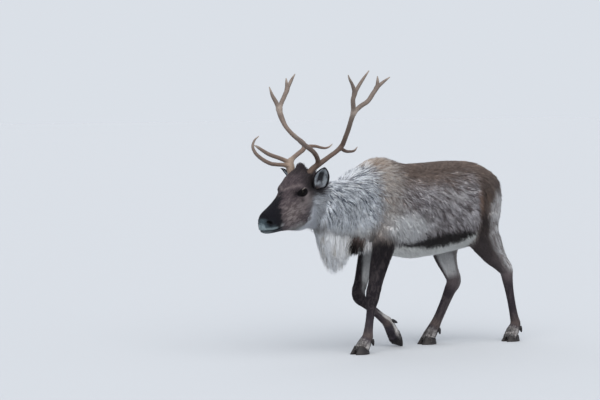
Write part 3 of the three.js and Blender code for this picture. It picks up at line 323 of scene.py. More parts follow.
def parts(inset):
    c = (lambda v: v) if inset else (lambda v: 0.0)
    out = [Sweep(TRUNK, [0, 0, 1], 0.05, axis=[1, 0, 0], inset=c(coat_trunk)),
           Sweep(NECK, [0, 0, 1], 0.06, inset=c(0.030))]
    if not inset: out.append(Sweep(BEARD, [0, 0, 1], 0.05))
    out.append(Sweep(HEAD, [0, 0, 1], 0.045, head=True, inset=c(coat_head)))
    out += [Swell(s['at'], s['r'], s['k'], c(0.0045)) for s in SWELLS]
    for j, g, up, k in ((FORE_JOINTS['L'], FORE_GIRTHS['L'], [1, 0, 0], .035), (FORE_JOINTS['R'], FORE_GIRTHS['R'], [1, 0, .3], .035),
                        (HIND_JOINTS['L'], HIND_GIRTHS['L'], [1, 0, 0], .045), (HIND_JOINTS['R'], HIND_GIRTHS['R'], [1, 0, .2], .045)):
        out.append(Sweep(leg_rows(j, g), up, k, bent=True, inset=c(coat_leg)))
    out.append(Sweep(TAIL, [-1, 0, 0.3], 0.02, bent=True, inset=c(0.014)))
    return out


def field(prims, lo, n, h, mask=None):
    """values of the blended field on a grid of points"""
    V = np.full(n, 9.0, np.float32)
    lo = np.array(lo, float)
    for p in prims:
        if p.head:
            c = head_to_body(np.array([[a, b, d] for a in (p.lo[0], p.hi[0]) for b in (p.lo[1], p.hi[1]) for d in (p.lo[2], p.hi[2])]))
            a, b = c.min(0), c.max(0)
        else:
            a, b = p.lo, p.hi
        i0 = np.clip(np.floor((a - 0.09 - lo) / h).astype(int), 0, n)
        i1 = np.clip(np.ceil((b + 0.09 - lo) / h).astype(int) + 1, 0, n)
        if (i1 <= i0).any(): continue
        ax = [lo[k] + np.arange(i0[k], i1[k]) * h for k in range(3)]
        G = np.stack(np.meshgrid(*ax, indexing='ij'), -1).reshape(-1, 3)
        if p.head: G = body_to_head(G)
        sl = tuple(slice(i0[k], i1[k]) for k in range(3))
        d = p(G).reshape([len(x) for x in ax])
        V[sl] = smin(V[sl].astype(float), d, p.k)
    return V


def double(V):
    """twice as fine, by cubic interpolation"""
    for ax in range(3):
        V = np.moveaxis(V, ax, 0)
        P = np.concatenate([V[:1], V, V[-1:]])
        mid = (-P[:-3] + 9 * P[1:-2] + 9 * P[2:-1] - P[3:]) / 16
        out = np.empty((2 * len(V) - 1,) + V.shape[1:], V.dtype)
        out[::2], out[1::2] = V, mid
        V = np.moveaxis(out, 0, ax)
    return np.ascontiguousarray(V)


class Sampler:
    """trilinear value and slope of a grid"""

    def __init__(s, V, lo, h): s.V, s.lo, s.h = V, np.array(lo, float), h

    def __call__(s, P):
        g = (P - s.lo) / s.h
        i = np.clip(np.floor(g).astype(int), 0, np.array(s.V.shape) - 2)
        f = np.clip(g - i, 0, 1)
        v = 0
        for a in (0, 1):
            for b in (0, 1):
                for c in (0, 1):
                    w = (f[:, 0] if a else 1 - f[:, 0]) * (f[:, 1] if b else 1 - f[:, 1]) * (f[:, 2] if c else 1 - f[:, 2])
                    v = v + w * s.V[i[:, 0] + a, i[:, 1] + b, i[:, 2] + c]
        return v

    def slope(s, P, e=None):
        e = e or s.h * 0.7
        g = np.stack([s(P + np.eye(3)[k] * e) - s(P - np.eye(3)[k] * e) for k in range(3)], 1) / (2 * e)
        return g

    def project(s, P, times=2, to=0.0):
        for _ in range(times):
            g = s.slope(P)
            n2 = np.maximum((g * g).sum(1), 0.04)
            P = P - g * np.clip((s(P) - to) / n2, -0.006, 0.006)[:, None]
        return P


def nets(V, lo, h):
    """quad mesh of the zero surface of a grid"""
    s = V < 0
    nx, ny, nz = V.shape
    off = [(i, j, k) for i in (0, 1) for j in (0, 1) for k in (0, 1)]
    cnt = sum(s[i:nx - 1 + i, j:ny - 1 + j, k:nz - 1 + k].astype(np.int8) for i, j, k in off)
    cell = (cnt > 0) & (cnt < 8)
    ids = np.full(cell.shape, -1, np.int64)
    ci = np.argwhere(cell)
    ids[cell] = np.arange(len(ci))
    acc, w = np.zeros((len(ci), 3)), np.zeros(len(ci))
    val = {o: V[ci[:, 0] + o[0], ci[:, 1] + o[1], ci[:, 2] + o[2]].astype(float) for o in off}
    for a in off:
        for ax in range(3):
            if a[ax]: continue
            b = list(a)
            b[ax] = 1
            va, vb = val[a], val[tuple(b)]
            m = (va < 0) != (vb < 0)
            p = np.zeros((len(ci), 3))
            p[:] = a
            p[:, ax] += np.where(m, va / np.where(m, va - vb, 1), 0)
            acc[m] += p[m]
            w[m] += 1
    vert = lo + (ci + acc / w[:, None]) * h
    quads = []
    for ax in range(3):
        s0, s1 = [slice(1, -1)] * 3, [slice(1, -1)] * 3
        s0[ax], s1[ax] = slice(0, -1), slice(1, None)
        A, B = s[tuple(s0)], s[tuple(s1)]
        m = A != B
        base, flip = np.argwhere(m), A[m]
        for k in range(3):
            if k != ax: base[:, k] += 1
        u, v = [(1, 2), (2, 0), (0, 1)][ax]

        def c(du, dv):
            q = base.copy()
            q[:, u] -= du
            q[:, v] -= dv
            return ids[q[:, 0], q[:, 1], q[:, 2]]
        q = np.stack([c(1, 1), c(0, 1), c(0, 0), c(1, 0)], 1)
        q[~flip] = q[~flip][:, ::-1]
        quads.append(q)
    return vert, np.concatenate(quads)


def mesh_from(name, P, faces, smooth=True):
    """object from points in the animal's frame; faces an (n, 3|4) array or a list"""
    me = bpy.data.meshes.new(name)
    P = to_row(P)
    if isinstance(faces, np.ndarray):
        k = faces.shape[1]
        me.vertices.add(len(P))
        me.vertices.foreach_set('co', P.astype(np.float32).ravel())
        me.loops.add(faces.size)
        me.loops.foreach_set('vertex_index', faces.astype(np.int32).ravel())
        me.polygons.add(len(faces))
        me.polygons.foreach_set('loop_start', np.arange(len(faces), dtype=np.int32) * k)
        me.polygons.foreach_set('loop_total', np.full(len(faces), k, np.int32))
        me.update(calc_edges=True)
    else:
        me.from_pydata(P.tolist(), [], faces)
    if smooth: me.polygons.foreach_set('use_smooth', np.ones(len(me.polygons), bool))
    me.validate()
    ob = bpy.data.objects.new(name, me)
    bpy.context.scene.collection.objects.link(ob)
    return ob


def join_arrays(blocks):
    """one point array and one list of faces from many"""
    P, F, n = [], [], 0
    for p, f in blocks:
        P.append(p)
        F.append(np.asarray(f) + n)
        n += len(p)
    return np.concatenate(P), F

# ------------------------------------------------------------------ noise
def vnoise(P, seed=0):
    """smooth value noise, 0 to 1"""
    i = np.floor(P).astype(np.int64)
    f = P - i
    f = f * f * (3 - 2 * f)
    out = 0
    for a in (0, 1):
        for b in (0, 1):
            for c in (0, 1):
                h = ((i[:, 0] + a) * 73856093) ^ ((i[:, 1] + b) * 19349663) ^ ((i[:, 2] + c) * 83492791) ^ (seed * 2654435761)
                h = h & 0xFFFFFFFF
                h = ((h ^ (h >> 13)) * 1274126177) & 0xFFFFFFFF
                h = ((h ^ (h >> 15)) * 2246822519) & 0xFFFFFFFF
                h = h ^ (h >> 16)
                w = (f[:, 0] if a else 1 - f[:, 0]) * (f[:, 1] if b else 1 - f[:, 1]) * (f[:, 2] if c else 1 - f[:, 2])
                out = out + w * (h / 4294967295.0)
    return out


def fbm(P, seed=0, n=3):
    v, s, a = 0, 0, 1.0
    for k in range(n):
        v = v + a * vnoise(P * 2.03 ** k + 17.3 * k, seed + k)
        s += a
        a *= 0.5
    return v / s


# ------------------------------------------------------------------ regions: which part a point belongs to
PRIMS = parts(True)
GROUPS = ['trunk', 'neck', 'head', 'swell', 'swell', 'swell', 'fore_L', 'fore_R', 'hind_L', 'hind_R', 'tail']
LEG_JOINTS = {'fore_L': FORE_JOINTS['L'], 'fore_R': FORE_JOINTS['R'], 'hind_L': HIND_JOINTS['L'], 'hind_R': HIND_JOINTS['R']}


def blend_at(P, prims=None):
    H, v = body_to_head(P), np.full(len(P), 9.0)
    for p in prims or PRIMS:
        Q = H if p.head else P
        m = ((Q > p.lo - 0.09) & (Q < p.hi + 0.09)).all(1)
        if m.any(): v[m] = smin(v[m], p(Q[m]), p.k)
    return v


def blend_slope(P, e=0.002):
    I = np.eye(3) * e
    return np.stack([blend_at(P + I[k]) - blend_at(P - I[k]) for k in range(3)], 1) / (2 * e)


def shares(P):
    """how much each part has of a point, from how near its own surface is"""
    H = body_to_head(P)
    d = {}
    for p, g in zip(PRIMS, GROUPS):
        Q = H if p.head else P
        v = np.full(len(P), 0.3)
        m = ((Q > p.lo - 0.06) & (Q < p.hi + 0.06)).all(1)
        if m.any(): v[m] = p(Q[m])
        g = 'head' if g == 'swell' else g
        d[g] = np.minimum(d[g], v) if g in d else v
    k = list(d)
    M = np.stack([d[g] for g in k], 1)
    W = np.exp(-(M - M.min(1, keepdims=True)) / 0.012)
    W /= W.sum(1, keepdims=True)
    return {g: W[:, i] for i, g in enumerate(k)}


def on_line(P, J):
    """place along a bent line: joint parameter, nearest point, direction"""
    J = np.array(J, float)
    best, par, near, way = np.full(len(P), 9.0), np.zeros(len(P)), np.zeros_like(P), np.zeros_like(P)
    for i in range(len(J) - 1):
        d = J[i + 1] - J[i]
        t = np.clip((P - J[i]) @ d / (d @ d), 0, 1)
        q = J[i] + t[:, None] * d
        r = np.linalg.norm(P - q, axis=1)
        m = r < best
        best[m], par[m], near[m], way[m] = r[m], i + t[m], q[m], unit(d)
    return par, near, way


# ------------------------------------------------------------------ colours of the coat
def rgb(*c):
    c = np.array(c, float) / 255
    return np.where(c <= 0.04045, c / 12.92, ((c + 0.055) / 1.055) ** 2.4)


def mixc(c, d, w):
    return c + (np.asarray(d) - c) * np.asarray(w)[:, None]


def band(x, a, b, soft): return sstep(a - soft, a + soft, x) * (1 - sstep(b - soft, b + soft, x))


def paint_head(H, noise):
    x, ay, z = H[:, 0], np.abs(H[:, 1]), H[:, 2]
    w = (noise - 0.5)
    fl = H * [48, 175, 175]
    n1, n2 = fbm(fl, 71), fbm(fl * 2.1, 75)
    c = np.tile(rgb(82, 73, 77), (len(H), 1))
    c = mixc(c, rgb(108, 97, 97), 0.50 * sstep(0.48, 0.70, n1) * sstep(0.36, 0.28, x))                     # pale flecks
    c = mixc(c, rgb(54, 48, 52), 0.50 * sstep(0.52, 0.32, n1) * sstep(0.36, 0.28, x))
    c = mixc(c, rgb(58, 51, 55), 0.45 * sstep(0.52, 0.62, fbm(H * 26, 79)) * sstep(-0.06, -0.02, z))                        # dark flecks
    c = mixc(c, rgb(56, 49, 53), 0.9 * sstep(0.015, 0.05, z + 0.02 * w) * sstep(0.15, 0.09, x))              # crown
    cheek = mixc(np.tile(rgb(140, 130, 129), (len(H), 1)), rgb(98, 88, 88), sstep(0.62, 0.42, n1))
    ck = np.clip(gauss(x - 0.235, 0.052) * gauss(z + 0.135, 0.040) * 1.15, 0, 1) * sstep(0.02, 0.04, ay)
    c = c + (cheek - c) * ck[:, None]                                                                        # cheek
    c = mixc(c, rgb(158, 149, 147), 0.75 * gauss(x - 0.108, 0.022) * gauss(z + 0.105, 0.028) * (0.7 + 0.6 * w))
    c = mixc(c, rgb(150, 141, 139), 0.70 * gauss(x - 0.165, 0.016) * gauss(z + 0.110 + 0.5 * (x - 0.165), 0.018) * (0.7 + 0.6 * w))
    jaw = sstep(-0.190 - 0.08 * sstep(0.20, 0.06, x), -0.232 - 0.05 * sstep(0.20, 0.06, x), z + 0.035 * w) * sstep(0.335, 0.300, x)
    c = mixc(c, rgb(170, 166, 165), 0.85 * jaw)                                                              # pale edge of the jaw
    # dark bridge of the nose, widening to the whole side of the muzzle
    xb = np.interp(z, [-0.175, -0.130, -0.090, -0.062, -0.045, -0.020], [0.326, 0.318, 0.316, 0.305, 0.275, 0.225]) + 0.050 * w
    drk = sstep(xb - 0.016, xb + 0.016, x)
    c = mixc(c, rgb(16, 17, 23), 0.97 * drk)
    c = mixc(c, rgb(66, 58, 61), 0.55 * sstep(0.120, 0.180, x) * sstep(-0.055, -0.030, z + 0.02 * w) * (1 - drk) * sstep(0.45, 0.6, n2))
    # brow line running forward from over the eye to the bridge
    ridge = np.interp(x, [0.120, 0.150, 0.162, 0.192, 0.217], [0.076, 0.068, 0.058, 0.026, 0.004])
    c = mixc(c, rgb(132, 121, 121), (0.42 + 0.5 * w) * gauss(ay - ridge + 0.012 * w, 0.0066) * band(x, 0.140, 0.215, 0.012) * sstep(-0.040, -0.022, z))
    # grey muzzle in front of the nostrils, pale rim and lips
    lip = np.interp(x, [0.31, 0.345, 0.375, 0.405, 0.428, 0.45], [-0.172, -0.171, -0.165, -0.157, -0.148, -0.141])
    tip = sstep(0.412, 0.430, x + 0.016 * w)
    # teal tint of the nose tip and of the muzzle below it: painted sky reflection over their own dark grey
    c = mixc(c, rgb(64, 76, 82), 0.9 * tip * sstep(-0.070, -0.088, z + 0.01 * w))
    c = mixc(c, rgb(56, 66, 71), 0.8 * sstep(0.360, 0.400, x) * sstep(-0.122, -0.136, z + 0.012 * w))
    c = mixc(c, rgb(138, 152, 158), 0.80 * sstep(0.434, 0.443, x + 0.010 * w) * sstep(-0.074, -0.096, z) * (1 - 0.4 * sstep(0.012, 0.0, ay)))
    c = mixc(c, rgb(116, 128, 132), 0.85 * sstep(0.350, 0.385, x + 0.03 * w) * sstep(0.0120, 0.0050, np.abs(z - lip - 0.0085 + 0.004 * w)))
    c = mixc(c, rgb(160, 160, 162), 0.6 * gauss(x - 0.326, 0.010) * gauss(z - lip - 0.010, 0.007))
    c = mixc(c, rgb(56, 57, 62), 0.9 * sstep(0.318, 0.335, x) * sstep(lip - 0.001, lip - 0.006, z) * sstep(lip - 0.034, lip - 0.022, z))
    c = mixc(c, rgb(120, 128, 130), 0.5 * sstep(0.395, 0.42, x) * sstep(0.010, 0.004, np.abs(z - lip + 0.010)))
    c = mixc(c, rgb(196, 200, 202), sstep(-0.205 - 0.026 * sstep(0.33, 0.24, x), -0.225 - 0.026 * sstep(0.33, 0.24, x), z + 0.008 * w) * sstep(0.37, 0.33, x) * sstep(0.05, 0.03, ay))  # under the jaw
    c = mixc(c, rgb(22, 21, 24), 0.9 * sstep(0.0042, 0.0016, np.abs(z - lip)) * sstep(0.316, 0.324, x))     # line of the mouth
    u, v = x - 0.411, z + 0.107
    a, b = 0.72 * u + 0.69 * v, -0.69 * u + 0.72 * v
    # dark round the nostrils is their own colour; the black in the openings is painted shade in the hollows
    c = mixc(c, rgb(24, 26, 31), 0.8 * sstep(1.9, 0.9, np.hypot((u + 0.010) / 0.0210, (v + 0.001) / 0.0125)) * sstep(0.014, 0.020, ay))
    c = mixc(c, rgb(9, 9, 11), sstep(1.35, 0.85, np.hypot(a / 0.0140, b / 0.0080)) * sstep(0.014, 0.020, ay))
    # dark round the eye, most in front of it: its own dark hair, partly painted shade under the brow; and a pale upper
    # lid
    ex, ez = x - EYE_AT[0], z - EYE_AT[2]
    on = sstep(0.03, 0.045, ay)
    c = mixc(c, rgb(18, 15, 20), on * 0.93 * np.exp(-((ex - 0.034) / 0.030) ** 2 - ((ez - 0.010 - 0.25 * (ex - 0.03)) / 0.023) ** 2))
    c = mixc(c, rgb(30, 26, 30), on * 0.80 * np.exp(-((ex + 0.055) / 0.024) ** 2 - ((ez - 0.020) / 0.034) ** 2))
    c = mixc(c, rgb(30, 25, 29), on * 0.75 * np.exp(-((ex - 0.018) / 0.012) ** 2 - ((ez + 0.034) / 0.016) ** 2))
    c = mixc(c, rgb(10, 8, 11), on * sstep(1.12, 0.90, np.hypot((ex - 0.003) / 0.0355, (ez - 0.003 - 0.18 * ex) / 0.0235)))
    c = mixc(c, rgb(166, 154, 146), on * 0.90 * gauss(ez - (0.0225 - 9.0 * (ex + 0.003) ** 2 - 0.10 * ex), 0.0018) * sstep(0.016, 0.007, np.abs(ex + 0.004)))
    # black-brown at the root of the ear, white behind the cheek
    c = mixc(c, rgb(32, 27, 31), 0.95 * np.exp(-((x - 0.045) / 0.034) ** 2 - ((z + 0.055) / 0.062) ** 2) * sstep(0.035, 0.06, ay))
    xw = np.interp(z, [-0.265, -0.245, -0.225, -0.165, -0.125, -0.095, -0.07], [0.250, 0.190, 0.124, 0.104, 0.076, 0.045, 0.010])
    c = mixc(c, rgb(230, 233, 239), sstep(xw + 0.022, xw - 0.016, x + 0.055 * w) * sstep(-0.078 - 0.026 * sstep(0.060, 0.035, x), -0.105 - 0.026 * sstep(0.060, 0.035, x), z + 0.02 * w))
    return c


def paint_leg(P, N, name, noise):
    hind, left = name.startswith('hind'), name.endswith('L')
    s, near, way = on_line(P, LEG_JOINTS[name])
    out = unit(P - near)
    side = out[:, 1] * (1 if left else -1)          # + on the outer side
    foot = 4.0 if hind else 3.0                      # fetlock
    c = np.tile(rgb(90, 82, 84) if hind else rgb(42, 38, 42), (len(P), 1))
    if hind:
        c = mixc(c, rgb(96, 87, 86), sstep(2.6, 1.6, s))
        c = mixc(c, rgb(45, 40, 46), 0.92 * sstep(3.02, 3.30, s + 0.2 * (noise - 0.5)) * sstep(-0.85, -0.45, out[:, 0]))
        c = mixc(c, rgb(62, 55, 58), 0.6 * sstep(0.3, 0.7, out[:, 0]) * sstep(3.1, 2.6, s))
    else:
        c = mixc(c, rgb(60, 55, 61), 0.8 * sstep(2.2, 2.6, s))
        c = mixc(c, rgb(38, 34, 39), 0.7 * gauss(s - 2.0, 0.30) * sstep(-0.2, 0.5, out[:, 0]))
    c = mixc(c, rgb(112, 103, 103), 0.22 * sstep(0.50, 0.64, noise))
    if hind:
        inner = sstep(-0.02, -0.42, side + 0.25 * (noise - 0.5)) * sstep(2.95, 2.50, s + 0.2 * (noise - 0.5)) * sstep(-0.72, -0.25, out[:, 0] + 0.2 * (noise - 0.5))
    else:
        lim = np.interp(s, [0.4, 1.0, 1.5, 1.9], [1.30, 1.00, 0.66, 0.25])
        inner = sstep(-0.02, -0.42, side + 0.25 * (noise - 0.5)) * sstep(2.00, 1.55, s + 0.25 * (noise - 0.5)) * sstep(lim + 0.22, lim - 0.18, out[:, 0] + 0.2 * (noise - 0.5))
    c = mixc(c, rgb(204, 204, 204), inner * 0.90)
    if hind: c = mixc(c, rgb(186, 182, 180), 0.80 * sstep(0.30, 0.80, -out[:, 0] + 0.3 * (noise - 0.5)) * sstep(3.25, 2.5, s))
    c = mixc(c, rgb(190, 186, 184), 0.80 * sstep(0.74, 0.96, -out[:, 0]) * sstep(foot + 0.2, foot - 0.3, s) * sstep(foot - 1.0, foot - 0.7, s))
    pad = sstep(foot + 0.22, foot + 0.66, s + 0.75 * (noise - 0.5))
    if name == 'fore_R': pad = pad * sstep(-0.10, 0.30, 0.8 * out[:, 2] - 0.5 * out[:, 0] + 0.2)
    c = mixc(c, rgb(190, 186, 184), pad * {'fore_L': 0.85, 'fore_R': 0.80, 'hind_L': 0.66, 'hind_R': 0.50}[name])
    c = mixc(c, rgb(74, 66, 66), 0.75 * pad * sstep(0.54, 0.44, noise))
    if name == 'fore_R':
        c = mixc(c, rgb(200, 198, 196), 0.88 * sstep(0.12, 0.42, 0.8 * out[:, 2] - 0.5 * out[:, 0] - 0.12 * side + 0.2 * (noise - 0.5))
                 * sstep(foot - 0.42, foot - 0.12, s + 0.2 * (noise - 0.5)) * sstep(foot + 0.85, foot + 0.55, s))
    c = mixc(c, rgb(120, 106, 98), 0.30 * gauss(s - foot, 0.12))
    return c


def paint(P, N, W=None, detail=1.0):
    """colour of the coat at points of the skin, with the streaks of its locks"""
    W = W or shares(P)
    f, l, z = P.T
    al = np.abs(l)
    # streaks that run with the lie of the hair
    D = lie(P, N, W)
    F = P - D * ((P * D).sum(1) * 0.80)[:, None]
    n1, n2, n3 = fbm(F * 95, 3), fbm(F * 42, 11), fbm(P * 9, 23)
    st = sstep(0.40, 0.62, 0.55 * n1 + 0.45 * n2)
    F2 = P - D * ((P * D).sum(1) * 0.74)[:, None]
    nm = 0.6 * fbm(F2 * 62, 13, 2) + 0.4 * fbm(F2 * 120, 15, 2)
    # trunk
    c = np.tile(rgb(138, 122, 113), (len(P), 1))
    c = mixc(c, rgb(176, 158, 145), 0.60 * sstep(0.50, 0.64, n2) * sstep(0.44, 0.60, n1))
    c = mixc(c, rgb(94, 82, 78), 0.75 * sstep(0.50, 0.38, n1))
    c = mixc(c, rgb(92, 80, 76), 0.55 * gauss(f + 0.05 - 0.1 * n3, 0.22) * sstep(0.92, 0.99, z))
    tan = mixc(np.tile(rgb(184, 170, 159), (len(P), 1)), rgb(228, 225, 223), 0.8 * st)
    tan = mixc(tan, rgb(112, 103, 101), 0.7 * sstep(0.46, 0.36, n1))
    c = c + (tan - c) * (0.95 * sstep(0.20, 0.34, f + 0.14 * (n2 - 0.5)) * sstep(0.62, 0.76, z))[:, None]            # withers and shoulder
    # warmer tan along the top of the withers: painted highlight
    c = mixc(c, rgb(168, 146, 127), 0.6 * sstep(0.27, 0.36, f + 0.1 * (n2 - 0.5)) * sstep(0.97, 1.04, z))
    low = 0.905 + 0.03 * sstep(0.1, -0.25, f) + 0.11 * (n2 - 0.5)
    g = sstep(low + 0.055, low - 0.060, z) * sstep(0.40, 0.18, f + 0.05 * (n2 - 0.5)) * sstep(-0.33, -0.25, f)
    grey = mixc(np.tile(rgb(118, 109, 110), (len(P), 1)), rgb(216, 213, 217), st)
    grey = mixc(grey, rgb(84, 76, 79), 0.9 * sstep(0.50, 0.38, n1))
    c = c + (grey - c) * (g * 0.9)[:, None]
    c = mixc(c, rgb(226, 222, 222), 0.75 * g * np.exp(-((f + 0.10) / 0.11) ** 2 - ((z - 0.850) / 0.040) ** 2) * sstep(0.40, 0.52, n2))
    c = mixc(c, rgb(96, 88, 90), 0.65 * g * np.exp(-((f + 0.11) / 0.12) ** 2 - ((z - 0.725) / 0.050) ** 2) * sstep(0.58, 0.46, n2))
    fr = np.exp(-((f - 0.255) / 0.115) ** 2 - ((z - 0.680) / 0.065) ** 2)
    c = mixc(c, rgb(238, 239, 240), np.clip(1.9 * fr, 0, 1) * (0.60 + 0.40 * st))                              # fringe behind the elbow
    zs = np.interp(f, [-0.26, -0.12, 0.0, 0.12, 0.30], [0.650, 0.627, 0.615, 0.606, 0.588]) + 0.010 * (n2 - 0.5)
    hs = np.interp(f, [-0.27, -0.19, -0.06, 0.06, 0.16, 0.30], [0.0005, 0.022, 0.034, 0.031, 0.017, 0.004])
    c = mixc(c, rgb(238, 239, 236), sstep(zs + 0.005, zs - 0.025, z) * sstep(-0.40, -0.25, f) * sstep(0.60, 0.45, f))  # belly
    up = np.where(z > zs, 1.0 + 0.9 * (n1 - 0.5), 1.0)
    c = mixc(c, rgb(36, 31, 31), 0.97 * sstep(1.18, 0.86, np.abs(z - zs) / np.maximum(hs * up, 1e-4)) * sstep(0.10, 0.13, al))
    # thigh and rump
    th = sstep(-0.262, -0.292, f + 0.02 * (n2 - 0.5))
    brown = mixc(np.tile(rgb(100, 89, 85), (len(P), 1)), rgb(146, 131, 122), 0.5 * st)
    brown = mixc(brown, rgb(66, 58, 58), 0.6 * sstep(0.46, 0.36, n1))
    c = c + (brown - c) * (th * sstep(0.97, 0.90, z) * 0.95)[:, None]
    c = mixc(c, rgb(62, 54, 54), 0.85 * sstep(-0.278, -0.300, f) * sstep(-0.375, -0.335, f + 0.03 * (n1 - 0.5)) * sstep(0.745, 0.700, z) * sstep(0.08, 0.12, al))
    c = mixc(c, rgb(160, 130, 110), 0.75 * np.exp(-((f + 0.284) / 0.014) ** 2 - ((z - 0.81) / 0.07) ** 2) * sstep(0.08, 0.12, al))
    # narrow dark line in the crease between thigh and flank: painted shade
    c = mixc(c, rgb(50, 42, 42), 0.8 * np.exp(-((f + 0.303) / 0.009) ** 2 - ((z - 0.740) / 0.10) ** 2) * sstep(0.08, 0.12, al))
    c = mixc(c, rgb(128, 108, 94), 0.6 * np.exp(-((f + 0.345) / 0.025) ** 2 - ((z - 0.82) / 0.05) ** 2) * sstep(0.08, 0.12, al))
    c = mixc(c, rgb(22, 19, 21), 0.92 * sstep(1.3, 0.7, np.hypot((f + 0.321) / 0.011, (z - 0.843) / 0.013)) * sstep(0.08, 0.12, al))
    fb = np.interp(z, [0.38, 0.46, 0.53, 0.62, 0.79, 0.86], [-0.555, -0.490, -0.412, -0.362, -0.352, -0.415])
    rear = sstep(fb + 0.022, fb - 0.040, f + 0.075 * (n1 - 0.5)) * sstep(0.90, 0.81, z) * sstep(0.38, 0.44, z)
    rear = rear * np.where(l > 0, 1, sstep(0.46, 0.53, z))
    pale = mixc(np.tile(rgb(226, 225, 226), (len(P), 1)), rgb(134, 124, 122), 0.8 * sstep(0.50, 0.40, n1))
    c = c + (pale - c) * (rear * 0.92)[:, None]
    # mane and beard
    edge = np.interp(z, [0.56, 0.62, 0.69, 0.785, 0.855, 0.92, 0.99, 1.05], [0.56, 0.52, 0.462, 0.436, 0.429, 0.428, 0.415, 0.375])
    m = sstep(edge - 0.050, edge + 0.020, f + 0.13 * (n1 - 0.5))
    # the white of the mane and its slate streaks are its own colours; their blue tint is painted sky light
    mane = np.tile(rgb(240, 245, 252), (len(P), 1))
    dark = np.clip(1.2 * gauss(z - 0.89, 0.10) * sstep(0.80, 0.72, f) + 0.25 * sstep(0.70, 0.80, z), 0, 1)
    mane = mixc(mane, rgb(38, 50, 74), detail * 0.97 * sstep(0.515, 0.565, nm + 0.10 * (dark - 1)))
    mane = mixc(mane, rgb(204, 204, 208), 0.25 * sstep(0.45, 0.6, n3) * sstep(0.70, 0.85, z))
    mane = mixc(mane, rgb(228, 228, 226), sstep(0.72, 0.66, z))
    mane = mixc(mane, rgb(112, 104, 100), 0.75 * np.exp(-((f - 0.745) / 0.030) ** 2 - ((z - 0.700) / 0.026) ** 2))
    c = c + (mane - c) * m[:, None]
    c = mixc(c, rgb(120, 110, 102), m * 0.8 * np.exp(-((f - 0.545) / 0.035) ** 2 - ((z - 0.640) / 0.022) ** 2))
    c = mixc(c, rgb(214, 213, 214), 0.85 * np.exp(-((f - 0.475) / 0.040) ** 2 - ((z - 0.610) / 0.040) ** 2))      # brisket
    c = mixc(c, rgb(40, 33, 32), 0.95 * sstep(1.35, 0.75, np.hypot((f - 0.512) / 0.028, (z - 0.548) / 0.022)) * sstep(0.14, 0.10, al))
    # tail: brown above, white below
    tl = mixc(np.tile(rgb(108, 94, 86), (len(P), 1)), rgb(212, 210, 206), sstep(-0.1, 0.4, N[:, 0]) * 0.9)
    c = c + (tl - c) * W['tail'][:, None]
    for leg in LEG_JOINTS:
        m = W[leg] > 0.02
        if m.any():
            w = W[leg][m] * (sstep(0.66, 0.56, z[m]) if leg.startswith('hind') else sstep(0.69, 0.57, z[m] + 0.05 * (n1[m] - 0.5)))
            c[m] = c[m] + (paint_leg(P[m], N[m], leg, n1[m]) - c[m]) * w[:, None]
            if leg == 'hind_L': c[m] = c[m] + (pale[m] - c[m]) * (rear[m] * 0.9)[:, None]
    H = body_to_head(P)
    m = W['head'] > 0.02
    if m.any():
        hx, hz = H[m, 0], H[m, 2]
        behind = sstep(0.105, 0.070, hx - 0.35 * np.minimum(hz + 0.165, 0)) * sstep(-0.095, -0.130, hz)        # here the mane begins
        c[m] = c[m] + (paint_head(H[m], n2[m]) - c[m]) * (W['head'][m] * (1 - 0.75 * behind))[:, None]
    c = mixc(c, rgb(34, 28, 32), 0.92 * np.exp(-((H[:, 0] - 0.032) / 0.019) ** 2 - ((H[:, 2] + 0.092) / 0.027) ** 2) * sstep(0.055, 0.075, np.abs(H[:, 1])))   # below the ear
    return c * (0.90 + 0.20 * n3[:, None])


# ------------------------------------------------------------------ lie and depth of the coat
def lie(P, N, W):
    """direction of the hair along the skin"""
    f, l, z = P.T
    phi = np.interp(z, [0.55, 0.66, 0.80, 0.92, 1.02, 1.06], [30, 52, 46, 34, 14, 8])
    phi = phi + 30 * sstep(-0.22, -0.42, f) + 10 * sstep(0.20, 0.42, f)
    phi = phi * D2R
    trunk = np.stack([-np.cos(phi), 0 * phi, -np.sin(phi)], 1)
    phi = np.interp(z, [0.62, 0.75, 0.88, 1.0], [92, 74, 50, 20]) * D2R
    neck = np.stack([-np.cos(phi), 0 * phi, -np.sin(phi)], 1)
    D = trunk * W['trunk'][:, None] + neck * W['neck'][:, None]
    for leg, J in LEG_JOINTS.items():
        m = W[leg] > 0.01
        if m.any(): D[m] += W[leg][m][:, None] * on_line(P[m], J)[2]
    m = W['head'] > 0.01
    if m.any():
        H = body_to_head(P[m])
        x, y, hz = H.T
        d = np.stack([-np.ones(len(H)), 0 * x, -0.15 - 0.9 * sstep(-0.08, -0.20, hz) * sstep(0.30, 0.10, x)], 1)
        d[:, 2] += 0.8 * gauss(x - 0.19, 0.03) * gauss(hz + 0.03, 0.02)
        D[m] += W['head'][m][:, None] * head_dir(unit(d))
    tail = on_line(P, [r[:3] for r in TAIL])[2]
    D += W['tail'][:, None] * tail
    D = D - N * (D * N).sum(1)[:, None]
    n = np.linalg.norm(D, axis=1)
    alt = np.array([-0.3, 0, -1.0]) - N * (N @ np.array([-0.3, 0, -1.0]))[:, None]
    D = np.where((n < 0.05)[:, None], alt, D)
    return unit(D)


def depth(P, W):
    """depth of the coat over the skin"""
    return (W['trunk'] * coat_trunk(P) + W['neck'] * 0.030 + W['head'] * coat_head(body_to_head(P)) + W['tail'] * 0.014
            + sum(W[g] * coat_leg(P) for g in LEG_JOINTS))

# ------------------------------------------------------------------ skin
LO, STEP = np.array([-0.756, -0.294, -0.028]), 0.014
GRID = double(np.minimum(field(PRIMS, LO, (146, 43, 86), STEP), 0.085))
BODY = Sampler(GRID, LO, STEP / 2)
skin_P, skin_Q = nets(GRID, LO, STEP / 2)
skin_P = BODY.project(skin_P, 2)


